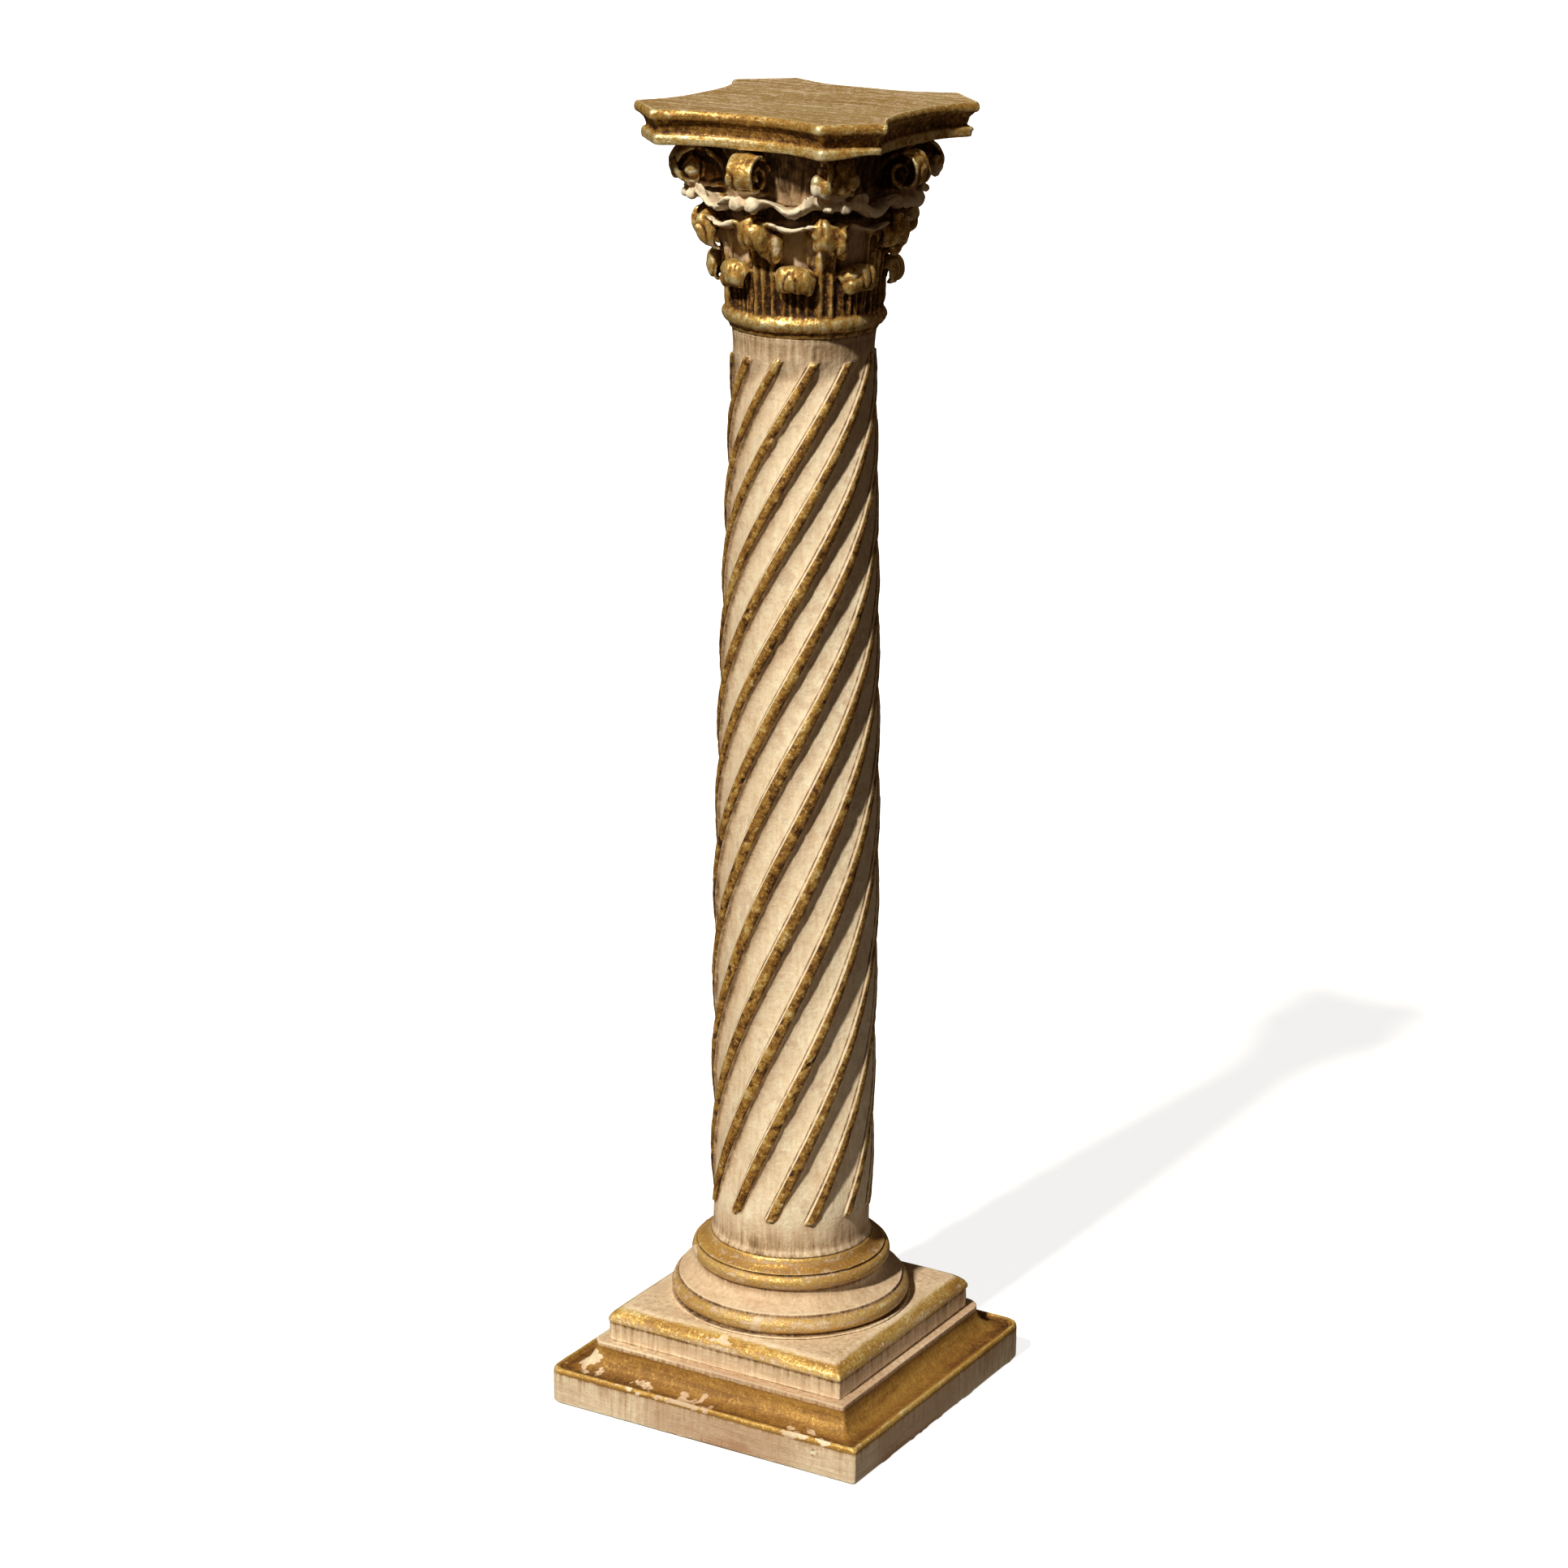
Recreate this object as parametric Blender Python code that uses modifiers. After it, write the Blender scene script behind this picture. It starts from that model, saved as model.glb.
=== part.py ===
"""Carved and gilded wooden column: a square foot in two steps, a turned base, a shaft with
twisted flutes, a leafy capital with eight scrolls and a hollow-sided top board.

Metres, +Z up. The origin is the middle of the underside. The broad front side of the square foot
faces -Y. Angles round the column are measured from -Y towards +X, in degrees.
"""
import bmesh
import bpy
import numpy as np

GAP = 0.0003  # between two pieces that rest on each other

# plinth board, a square with a moulded top edge
BOARD_HALF = 0.1500
BOARD_FACE = 0.0282  # plain upright face
BOARD_BEAD = 0.0038  # height of the bead above the face
BOARD_BEAD_IN = 0.0050
QUIRK_IN = 0.0036  # narrow groove inside the bead
QUIRK_DEPTH = 0.0028
COVE_HEIGHT = 0.0210
COVE_IN = 0.0180
BOARD_FILLET = 0.0030

# plinth block, a square with a rounded top edge
BLOCK_HALF = 0.1144
BLOCK_FACE = 0.0150
BLOCK_EDGE_OUT = 0.0010
BLOCK_EDGE_HEIGHT = 0.0140  # gilded edge that rounds over to the flat top
BLOCK_EDGE_IN = 0.0140

# turned base
BASE_TORUS_R = 0.1020  # outside of the lower half-round
BASE_STEP_R = 0.1030  # thin step under the lower half-round
BASE_STEP_HEIGHT = 0.0016
BASE_STEP_IN = 0.0060  # how far the step runs in under the half-round
BASE_TORUS_HEIGHT = 0.0160
BASE_FILLET_R = 0.0962
BASE_FILLET_HEIGHT = 0.0022
SCOTIA_HEIGHT = 0.0150
SCOTIA_R = 0.0795  # narrowest place of the hollow
SCOTIA_SPREAD = 0.0034  # how far the hollow has opened a third of the way up
SCOTIA_EDGE = 0.0040  # width of the hollow's sharp lower edge
UPPER_TORUS_R = 0.0850
UPPER_TORUS_HEIGHT = 0.0140
SLOPE_FOOT_R = 0.0806
SLOPE_HEIGHT = 0.0102
SLOPE_LEDGE = 0.0006  # how far the slope's head stands out from the shaft
TURNED_EASE = 0.0010  # small rounding of the turned edges
TURN_STEPS = 30

# shaft
SHAFT_LENGTH = 0.7823
FOOT_FLARE_R = 0.0690
FOOT_R = 0.0666
RIDGE_FOOT_R = 0.0698  # over the ridges, near the foot
RIDGE_HEAD_R = 0.0592  # over the ridges, near the neck
NECK_R = 0.0571
NECK_TOP_R = 0.0584
TAPER_START = 0.36  # share of the carved length that keeps its full width
FOOT_HEIGHT = 0.0285  # plain foot below the ridges
FLARE_HEIGHT = 0.0100
NECK_HEIGHT = 0.0180  # plain neck above the flutes
RIDGES = 12
FLUTE_DEPTH = 0.0062
RIDGE_HALF_ANGLE = 2.9
RIDGE_SIDE_ANGLE = 6.3
TWIST_RATE = 386.7  # degrees a metre at the foot
TWIST_GROWTH = 220.4  # degrees a square metre above TWIST_BEND
TWIST_BEND = 0.330  # height above the shaft's foot where the twist tightens
TWIST_PHASE = -28.0
SHAFT_ROWS = 22
RIDGE_END = 0.0050  # length in which a flute is scooped out at either end

# capital
RING_R = 0.0663
RING_HEIGHT = 0.0185
BELL_FOOT_R = 0.0584
BELL_WAIST_R = 0.0620
BELL_TOP_R = 0.0750
CAPITAL_HEIGHT = 0.1512
LOWER_LEAF_HEIGHT = 0.0600
LOWER_LEAF_R = 0.0805
LOWER_LEAF_HALF = 0.0190
LOWER_LEAF_THICK = 0.0090
LOWER_LEAF_DROOP = 0.66
UPPER_LEAF_HEIGHT = 0.1005
UPPER_LEAF_R = 0.0935
UPPER_LEAF_HALF = 0.0185
UPPER_LEAF_THICK = 0.0095
UPPER_LEAF_FOOT = 0.0390
UPPER_LEAF_DROOP = 0.84  # height of its rolled tip, as a share of its rise
LEAF_CHANNEL = 0.0034  # how deep the middle channel of a leaf is
LEAF_SINK = 0.0010  # how far a leaf's foot is sunk in what it grows from
LEDGE_HEIGHT = 0.1108  # middle of the wavy ledge, above the capital's foot
LEDGE_R = 0.0960
LEDGE_WAVE = 0.0045
LEDGE_THICK = 0.0062
LEDGE_SINK = 0.0060  # how deep its root is in the bell
LEDGE_UNDERCUT = 0.0015
KNOB_R = 0.0058
KNOB_ANGLE = 5.5
KNOB_OUT = 0.0050
LEDGE_TURN = 0.7  # degrees that the ledge is out of line with the leaves
SCROLL_R = 0.0178
SCROLL_BAND = 0.0060
SCROLL_WIDTH = 0.0180
SCROLL_TURNS = 1.2
SCROLL_PITCH = 0.0090  # how much the scroll closes in one turn
SCROLL_STEPS = 14
SCROLL_WEB_R = 0.0140
SCROLL_WEB_WIDTH = 0.0118
SCROLL_SIDE_REACH = 0.1105
SCROLL_CORNER_REACH = 0.1140
SCROLL_TOP_DROP = 0.0008
STEM_SINK = 0.0040  # how deep the scroll's stem is rooted in the bell
STEM_FOOT_DROP = 0.0540  # from the scroll's top to the middle of the stem's root
STEM_FOOT_THICK = 0.0120
STEM_BEND_DROP = 0.0160
STEM_BEND_THICK = 0.0100
STEM_BEND_IN = 0.0030
CAPITAL_STEPS = 24
UNION_KEEP = 0.78  # share of the joined carving's faces that are kept

# abacus
ABACUS_HEIGHT = 0.0286
LIP_HALF = 0.1155
LIP_CUT = 0.0750  # from the middle of a side to the cut corner
LIP_MIDDLE = 0.0965  # from the axis to the hollow side
COVE_SIDE_IN = 0.0100
FOOT_SIDE_IN = 0.0060
COVE_MIDDLE_IN = 0.0070
FOOT_MIDDLE_IN = 0.0045
SIDE_POWER = 2.6
ABACUS_EASE = 0.0012  # small rounding of its edges
ABACUS_TOP_ROUND = 0.0034  # rounding of its worn top edge

COLLECTION = "carved_gilded_column"


def clear_scene():
    """Remove what the scene holds."""
    for item in list(bpy.data.objects):
        bpy.data.objects.remove(item, do_unlink=True)


def collection(name):
    """Return a new collection that is linked to the scene."""
    group = bpy.data.collections.new(name)
    bpy.context.scene.collection.children.link(group)
    return group


def material(name, colour, roughness, metallic):
    """Return a Principled material."""
    made = bpy.data.materials.new(name)
    made.use_nodes = True
    shader = made.node_tree.nodes["Principled BSDF"]
    shader.inputs["Base Color"].default_value = (*colour, 1.0)
    shader.inputs["Roughness"].default_value = roughness
    shader.inputs["Metallic"].default_value = metallic
    return made


def add_object(name, mesh, group, look=None):
    """Link a mesh as a named object with its material."""
    item = bpy.data.objects.new(name, mesh)
    group.objects.link(item)
    if look is not None:
        mesh.materials.append(look)
    return item


def around(radius, degrees, height):
    """Return the point at a radius and an angle from -Y towards +X."""
    turn = np.radians(degrees)
    return np.stack(np.broadcast_arrays(radius * np.sin(turn), -radius * np.cos(turn), height), -1)


def arc(start, end, bulge, count):
    """Return points from start to end on an arc that stands bulge out to the left of the way."""
    a = np.array(start)
    b = np.array(end)
    way = b - a
    side = np.array([way[1], -way[0]])
    share = np.linspace(0.0, 1.0, count)[:, None]
    return a + way * share + side * (4.0 * bulge * share * (1.0 - share))


def profile_mesh(name, profile):
    """Return an open mesh of edges in the X-Z plane, from the top of the axis to its foot."""
    mesh = bpy.data.meshes.new(name)
    verts = [(float(r), 0.0, float(z)) for r, z in profile]
    edges = [(i, i + 1) for i in range(len(verts) - 1)]
    mesh.from_pydata(verts, edges, [])
    return mesh


def turned(name, profile, steps, group, look=None):
    """Turn a profile, listed from the top down, about the Z axis."""
    item = add_object(name, profile_mesh(name, profile), group, look)
    screw = item.modifiers.new("turn", "SCREW")
    screw.axis = "Z"
    screw.steps = steps
    screw.render_steps = steps
    screw.use_merge_vertices = True
    screw.merge_threshold = 0.0001
    screw.use_smooth_shade = steps > 4
    return item


def squared(name, profile, group, look):
    """Sweep a profile of half-widths round a square by turning it in four steps at a corner."""
    corner = [(r * np.sqrt(2.0), z) for r, z in profile]
    item = turned(name, corner, 4, group, look)
    item.rotation_euler = (0.0, 0.0, np.radians(45.0))
    return item


def applied(item, group):
    """Return the object with its modifiers applied and its place kept in the mesh."""
    graph = bpy.context.evaluated_depsgraph_get()
    mesh = bpy.data.meshes.new_from_object(item.evaluated_get(graph))
    mesh.transform(item.matrix_world)
    made = bpy.data.objects.new(item.name, mesh)
    bpy.data.objects.remove(item, do_unlink=True)
    group.objects.link(made)
    return made


def lofted(name, rings, group, look=None):
    """Skin a stack of rings, each an array of points in order, and close both ends.

    The first ring is a bmesh circle; each further ring is extruded from the last one.
    """
    bm = bmesh.new()
    count = len(rings[0])
    made = bmesh.ops.create_circle(bm, segments=count, radius=1.0)
    ring_verts = made["verts"]
    for vert, place in zip(ring_verts, rings[0]):
        vert.co = place
    bm.edges.ensure_lookup_table()
    loop_edges = list(bm.edges)
    bmesh.ops.contextual_create(bm, geom=loop_edges)
    for ring in rings[1:]:
        made = bmesh.ops.extrude_edge_only(bm, edges=loop_edges)
        pairs = {}
        for edge in made["geom"]:
            if isinstance(edge, bmesh.types.BMFace):
                for side in edge.edges:
                    if (side.verts[0] in ring_verts) != (side.verts[1] in ring_verts):
                        old, new = side.verts
                        if old not in ring_verts:
                            old, new = new, old
                        pairs[old] = new
        ring_verts = [pairs[vert] for vert in ring_verts]
        for vert, place in zip(ring_verts, ring):
            vert.co = place
        loop_edges = [item for item in made["geom"] if isinstance(item, bmesh.types.BMEdge)]
    bmesh.ops.contextual_create(bm, geom=loop_edges)
    bmesh.ops.recalc_face_normals(bm, faces=bm.faces)
    bmesh.ops.triangulate(bm, faces=bm.faces)
    mesh = bpy.data.meshes.new(name)
    bm.to_mesh(mesh)
    bm.free()
    return add_object(name, mesh, group, look)


def smooth(item, degrees):
    """Shade smooth, with edges over the given angle kept sharp."""
    item.data.shade_smooth()
    item.data.set_sharp_from_angle(angle=np.radians(degrees))


def board_profile():
    """Return the board's half-widths and heights, from the top down."""
    face = BOARD_FACE
    quirk = BOARD_HALF - BOARD_BEAD_IN - QUIRK_IN
    bead_top = face + BOARD_BEAD
    cove_foot = bead_top - QUIRK_DEPTH
    cove_top = cove_foot + COVE_HEIGHT
    fillet = quirk - COVE_IN
    top = cove_top + BOARD_FILLET
    points = [(0.0, top), (fillet, top), (fillet, cove_top)]
    for t in np.radians([22.0, 45.0, 68.0, 90.0]):
        points.append((quirk - COVE_IN * np.cos(t), cove_top - COVE_HEIGHT * np.sin(t)))
    points.append((BOARD_HALF - BOARD_BEAD_IN, bead_top))
    points.append((BOARD_HALF - 0.2 * BOARD_BEAD_IN, face + 0.6 * BOARD_BEAD))
    points.append((BOARD_HALF, face))
    points.append((BOARD_HALF, 0.0))
    points.append((0.0, 0.0))
    return points, top


def block_profile(foot):
    """Return the block's half-widths and heights, from the top down."""
    face = foot + BLOCK_FACE
    top = face + BLOCK_EDGE_HEIGHT
    edge = BLOCK_HALF + BLOCK_EDGE_OUT
    points = [(0.0, top)]
    for share, climb in ((1.0, 1.0), (0.58, 0.86), (0.24, 0.60), (0.05, 0.34), (0.0, 0.12)):
        points.append((edge - BLOCK_EDGE_IN * share, face + BLOCK_EDGE_HEIGHT * climb))
    points.append((BLOCK_HALF, face))
    points.append((BLOCK_HALF, foot))
    points.append((0.0, foot))
    return points, top


def base_profile(foot):
    """Return the turned base's radii and heights, from the top down."""
    torus_foot = foot + BASE_STEP_HEIGHT
    torus_top = torus_foot + BASE_TORUS_HEIGHT
    fillet_top = torus_top + BASE_FILLET_HEIGHT
    scotia_top = fillet_top + SCOTIA_HEIGHT
    upper_top = scotia_top + UPPER_TORUS_HEIGHT
    top = upper_top + SLOPE_HEIGHT
    slope_head = FOOT_FLARE_R + SLOPE_LEDGE
    ease = TURNED_EASE
    points = [(0.0, top), (slope_head, top)]
    slope = arc((slope_head + 0.8 * ease, top - 0.4 * ease), (SLOPE_FOOT_R, upper_top), -0.16, 4)
    points += list(map(tuple, slope))
    half = 0.5 * UPPER_TORUS_HEIGHT
    inner = UPPER_TORUS_R - half
    for t in np.radians([62.0, 35.0, 0.0, -35.0, -68.0]):
        points.append((inner + half * np.cos(t), scotia_top + half + half * np.sin(t)))
    lip = inner + half * np.cos(np.radians(68.0)) - ease
    points.append((lip, scotia_top - 0.6 * ease))
    points.append((SCOTIA_R, scotia_top - 0.35 * SCOTIA_HEIGHT))
    points.append((SCOTIA_R + SCOTIA_SPREAD, scotia_top - 0.68 * SCOTIA_HEIGHT))
    points.append((BASE_FILLET_R - SCOTIA_EDGE, fillet_top + 0.6 * ease))
    points.append((BASE_FILLET_R, fillet_top - 0.4 * ease))
    points.append((BASE_FILLET_R, torus_top))
    half = 0.5 * BASE_TORUS_HEIGHT
    inner = BASE_TORUS_R - half
    for t in np.radians([50.0, 8.0, -34.0]):
        points.append((inner + half * np.cos(t), torus_foot + half + half * np.sin(t)))
    points.append((BASE_STEP_R - BASE_STEP_IN, torus_foot))
    points.append((BASE_STEP_R, torus_foot))
    points.append((BASE_STEP_R, foot))
    points.append((0.0, foot))
    return points, top


def ridge_radius(share):
    """Return the radius over the ridges at a share of the carved length."""
    rest = np.clip((share - TAPER_START) / (1.0 - TAPER_START), 0.0, 1.0)
    return RIDGE_FOOT_R + (RIDGE_HEAD_R - RIDGE_FOOT_R) * rest ** 1.45


def twist(height):
    """Return how far the ridges have turned at a height above the shaft's foot."""
    above = np.maximum(height - TWIST_BEND, 0.0)
    return TWIST_PHASE + TWIST_RATE * height + TWIST_GROWTH * above * above


def shaft_rings(foot):
    """Return the shaft's rings: a ridged section that follows the twist, plain at both ends."""
    pitch = 360.0 / RIDGES
    section = np.array([
        (-RIDGE_SIDE_ANGLE, 0.85),
        (-RIDGE_HALF_ANGLE, 0.0),
        (RIDGE_HALF_ANGLE, 0.0),
        (RIDGE_SIDE_ANGLE, 0.85),
        (0.5 * pitch, 1.0),
    ])
    angles = np.concatenate([section[:, 0] + pitch * k for k in range(RIDGES)])
    depths = np.tile(section[:, 1], RIDGES)
    carved_foot = FOOT_HEIGHT
    carved_head = SHAFT_LENGTH - NECK_HEIGHT
    length = carved_head - carved_foot
    heights = [0.0, 0.4 * FLARE_HEIGHT, 0.45 * carved_foot, carved_foot]
    rows = np.linspace(carved_foot + RIDGE_END, carved_head - RIDGE_END, SHAFT_ROWS)
    heights += list(rows)
    heights += [carved_head, SHAFT_LENGTH - 0.4 * NECK_HEIGHT, SHAFT_LENGTH]
    rings = []
    for height in heights:
        share = (height - carved_foot) / length
        if height <= 0.0:
            radii = np.full(len(angles), FOOT_FLARE_R)
        elif share <= 0.0:
            flare = max(0.0, 1.0 - height / FLARE_HEIGHT)
            radii = np.full(len(angles), FOOT_R + (FOOT_FLARE_R - FOOT_R) * flare)
        elif height >= carved_head:
            climb = (height - carved_head) / NECK_HEIGHT
            radii = np.full(len(angles), NECK_R + (NECK_TOP_R - NECK_R) * climb ** 2)
        else:
            crest = ridge_radius(share)
            radii = crest - FLUTE_DEPTH * depths
        rings.append(around(radii, angles + twist(height), foot + height))
    return rings


def leaf_rings(path, thick, half, middle):
    """Return a leaf's rings. The path gives the radius and height of the middle of its thickness
    and its share of the full width; across it, the front has two lobes with a channel between."""
    place = np.array([row[:2] for row in path])
    wide = np.array([row[2] for row in path])
    fat = np.array([row[3] for row in path])
    way = np.gradient(place, axis=0)
    way /= np.hypot(way[:, 0], way[:, 1])[:, None]
    out = np.column_stack([way[:, 1], -way[:, 0]])
    sunk = 1.0 - 2.0 * LEAF_CHANNEL / thick
    across = [(-1.0, 0.0), (-0.55, 1.0), (0.03, sunk), (0.55, 1.0), (1.0, 0.0), (0.05, -1.0)]
    rings = []
    for (radius, height), (out_r, out_z), share, swell in zip(place, out, wide, fat):
        ring = []
        for offset, depth in across:
            lift = 0.5 * thick * swell * depth
            turn = middle + np.degrees(offset * half * share / radius)
            ring.append(around(radius + out_r * lift, turn, height + out_z * lift))
        rings.append(np.array(ring))
    return rings


def leaf_path(foot, rise, root, reach, thick, droop):
    """Return the path of a leaf that climbs the bell, bends out at its top and rolls over."""
    shape = [
        (0.00, 0.00, 0.72, 0.60),
        (0.40, 0.06, 0.86, 0.75),
        (0.72, 0.24, 1.00, 1.00),
        (0.97, 0.60, 1.00, 1.10),
        (0.5 * (0.97 + droop) + 0.08, 0.93, 0.86, 1.10),
        (droop, 1.00, 0.55, 0.85),
    ]
    far = reach - 0.5 * thick
    top = rise - 0.5 * thick
    return [(root + (far - root) * out, foot + top * up, wide, fat) for up, out, wide, fat in shape]


def scroll_band(reach, top):
    """Return the outer and inner lines of a scroll band in radius and height: a stem that climbs
    out of the bell and rolls over, down and in."""
    mid_r = reach - SCROLL_R
    mid_z = top - SCROLL_R
    turns = np.linspace(0.0, SCROLL_TURNS, SCROLL_STEPS)
    radius = SCROLL_R - SCROLL_PITCH * turns
    inside = radius - SCROLL_BAND * (1.0 - 0.25 * turns / SCROLL_TURNS)
    angle = np.radians(90.0) - 2.0 * np.pi * turns
    outer = np.stack([mid_r + radius * np.cos(angle), mid_z + radius * np.sin(angle)], -1)
    inner = np.stack([mid_r + inside * np.cos(angle), mid_z + inside * np.sin(angle)], -1)
    root = BELL_WAIST_R - STEM_SINK
    bend = 0.5 * (BELL_WAIST_R + mid_r) - STEM_BEND_IN
    foot = top - STEM_FOOT_DROP
    turn = top - STEM_BEND_DROP
    stem_outer = [(root, foot + 0.5 * STEM_FOOT_THICK)]
    stem_outer.append((bend - STEM_BEND_IN, turn + 0.5 * STEM_BEND_THICK))
    stem_inner = [(root, foot - 0.5 * STEM_FOOT_THICK)]
    stem_inner.append((bend + STEM_BEND_IN, turn - 0.5 * STEM_BEND_THICK))
    return np.array(stem_outer + list(outer)), np.array(stem_inner + list(inner))


def band_prism(name, outer, inner, width, middle, group):
    """Make a band between two lines in radius and height, width thick across its middle angle."""
    mesh = bpy.data.meshes.new(name)
    bm = bmesh.new()
    rows = []
    for a, b in zip(outer, inner):
        rows.append([bm.verts.new((float(r), -0.5 * width, float(z))) for r, z in (a, b)])
    faces = []
    for row, after in zip(rows[:-1], rows[1:]):
        faces.append(bm.faces.new((row[0], after[0], after[1], row[1])))
    made = bmesh.ops.extrude_face_region(bm, geom=faces)
    moved = [item for item in made["geom"] if isinstance(item, bmesh.types.BMVert)]
    bmesh.ops.translate(bm, verts=moved, vec=(0.0, width, 0.0))
    bmesh.ops.recalc_face_normals(bm, faces=bm.faces)
    bm.to_mesh(mesh)
    bm.free()
    item = add_object(name, mesh, group)
    item.rotation_euler = (0.0, 0.0, np.radians(middle - 90.0))
    return item


def scroll_web(name, reach, top, middle, group):
    """Return the thinner disc that backs a scroll between its turns."""
    mesh = bpy.data.meshes.new(name)
    bm = bmesh.new()
    bmesh.ops.create_cone(
        bm,
        cap_ends=True,
        segments=7,
        radius1=SCROLL_WEB_R,
        radius2=SCROLL_WEB_R,
        depth=SCROLL_WEB_WIDTH,
    )
    bm.to_mesh(mesh)
    bm.free()
    item = add_object(name, mesh, group)
    item.location = around(reach - SCROLL_R, middle, top - SCROLL_R)
    item.rotation_euler = (np.radians(90.0), 0.0, np.radians(middle - 90.0))
    return item


def union(item, others, name, group):
    """Join the others to the item with one exact Boolean on their collection, then drop the
    slivers that it leaves along the seams."""
    join = item.modifiers.new("join", "BOOLEAN")
    join.operation = "UNION"
    join.operand_type = "COLLECTION"
    join.collection = others
    join.solver = "EXACT"
    thin = item.modifiers.new("thin", "DECIMATE")
    thin.ratio = UNION_KEEP
    bpy.context.view_layer.update()
    made = applied(item, group)
    made.name = name
    return made


def hide_cutters(group):
    """Mark the joined shapes so that they are left out of the model."""
    for item in group.objects:
        item.hide_render = True
        item.display_type = "WIRE"


def capital_profile(foot):
    """Return the ring and bell's radii and heights, from the top down."""
    top = foot + CAPITAL_HEIGHT
    ring_top = foot + RING_HEIGHT
    half = 0.5 * RING_HEIGHT
    spread = BELL_TOP_R - BELL_WAIST_R
    swell = BELL_WAIST_R - BELL_FOOT_R
    points = [(0.0, top), (BELL_TOP_R, top)]
    points.append((BELL_WAIST_R + 0.70 * spread, foot + 0.90 * CAPITAL_HEIGHT))
    points.append((BELL_WAIST_R + 0.42 * spread, foot + 0.75 * CAPITAL_HEIGHT))
    points.append((BELL_WAIST_R, foot + 0.50 * CAPITAL_HEIGHT))
    points.append((BELL_FOOT_R + 0.33 * swell, foot + 0.28 * CAPITAL_HEIGHT))
    points.append((BELL_FOOT_R, ring_top + 0.1 * RING_HEIGHT))
    inner = RING_R - half
    for t in np.radians([68.0, 38.0, 10.0, -20.0, -52.0]):
        points.append((inner + half * np.cos(t), foot + half + half * np.sin(t)))
    points.append((inner, foot))
    points.append((0.0, foot))
    return points


def ledge_rings(foot):
    """Return sections of the wavy ledge round the bell, each a four-sided ring. It swells into a
    pair of knobs under each scroll."""
    middle = foot + LEDGE_HEIGHT
    root = BELL_WAIST_R - LEDGE_SINK
    waves = [(0.0, 0.0), (KNOB_ANGLE, 1.0), (11.25, 0.0), (22.5, 0.0), (33.75, 0.0), (45.0 - KNOB_ANGLE, 1.0)]
    rings = []
    for k in range(8):
        for angle, swell in waves:
            turn = 45.0 * k + angle + LEDGE_TURN
            z = middle - LEDGE_WAVE * np.cos(np.radians(16.0 * angle)) * (1.0 - swell)
            half = 0.5 * LEDGE_THICK + (KNOB_R - 0.5 * LEDGE_THICK) * swell
            out = LEDGE_R + KNOB_OUT * swell
            ring = [
                around(root, turn, middle - 1.3 * LEDGE_THICK),
                around(root, turn, middle + 0.2 * LEDGE_THICK),
                around(out, turn, z + half),
                around(out - LEDGE_UNDERCUT, turn, z - half),
            ]
            rings.append(np.array(ring))
    return rings


def ring_band(name, rings, group):
    """Skin closed sections set round the axis into one endless band."""
    bm = bmesh.new()
    rows = [[bm.verts.new(place) for place in ring] for ring in rings]
    count = len(rows[0])
    for k, row in enumerate(rows):
        after = rows[(k + 1) % len(rows)]
        for j in range(count):
            n = (j + 1) % count
            bm.faces.new((row[j], row[n], after[n], after[j]))
    bmesh.ops.recalc_face_normals(bm, faces=bm.faces)
    bmesh.ops.triangulate(bm, faces=bm.faces)
    mesh = bpy.data.meshes.new(name)
    bm.to_mesh(mesh)
    bm.free()
    return add_object(name, mesh, group)


def capital(foot, group, carved, look):
    """Carve the capital: ring, bell, leaves, ledge, knobs and scrolls in one piece."""
    top = foot + CAPITAL_HEIGHT
    bell = turned("capital", capital_profile(foot), CAPITAL_STEPS, group)
    bell = applied(bell, group)
    lower_foot = foot + RING_HEIGHT - LEAF_SINK
    lower = leaf_path(
        lower_foot,
        foot + LOWER_LEAF_HEIGHT - lower_foot,
        BELL_FOOT_R,
        LOWER_LEAF_R,
        LOWER_LEAF_THICK,
        LOWER_LEAF_DROOP,
    )
    upper = leaf_path(
        foot + UPPER_LEAF_FOOT,
        UPPER_LEAF_HEIGHT - UPPER_LEAF_FOOT,
        BELL_WAIST_R - LEAF_SINK,
        UPPER_LEAF_R,
        UPPER_LEAF_THICK,
        UPPER_LEAF_DROOP,
    )
    for k in range(8):
        turn = 45.0 * k
        rings = leaf_rings(lower, LOWER_LEAF_THICK, LOWER_LEAF_HALF, turn + 22.5)
        lofted(f"lower_leaf_{k}", rings, carved)
        rings = leaf_rings(upper, UPPER_LEAF_THICK, UPPER_LEAF_HALF, turn)
        lofted(f"upper_leaf_{k}", rings, carved)
        reach = SCROLL_CORNER_REACH if k % 2 else SCROLL_SIDE_REACH
        outer, inner = scroll_band(reach, top - SCROLL_TOP_DROP)
        band_prism(f"scroll_{k}", outer, inner, SCROLL_WIDTH, turn, carved)
        scroll_web(f"web_{k}", reach, top - SCROLL_TOP_DROP, turn, carved)
    ring_band("ledge", ledge_rings(foot), carved)
    hide_cutters(carved)
    made = union(bell, carved, "capital", group)
    made.data.materials.clear()
    made.data.materials.append(look)
    return made


def plan(half, cut, middle, height):
    """Return the outline of a board with four hollow sides and cut corners."""
    shares = np.array([-1.0, -0.8, -0.55, -0.2, 0.2, 0.55, 0.8, 1.0])
    out = middle + (half - middle) * np.abs(shares) ** SIDE_POWER
    side = np.stack([shares * cut, -out], -1)
    points = []
    for quarter in range(4):
        c, s = np.cos(quarter * np.pi / 2.0), np.sin(quarter * np.pi / 2.0)
        points.append(side @ np.array([[c, s], [-s, c]]))
    flat = np.concatenate(points)
    return np.column_stack([flat, np.full(len(flat), height)])


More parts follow.
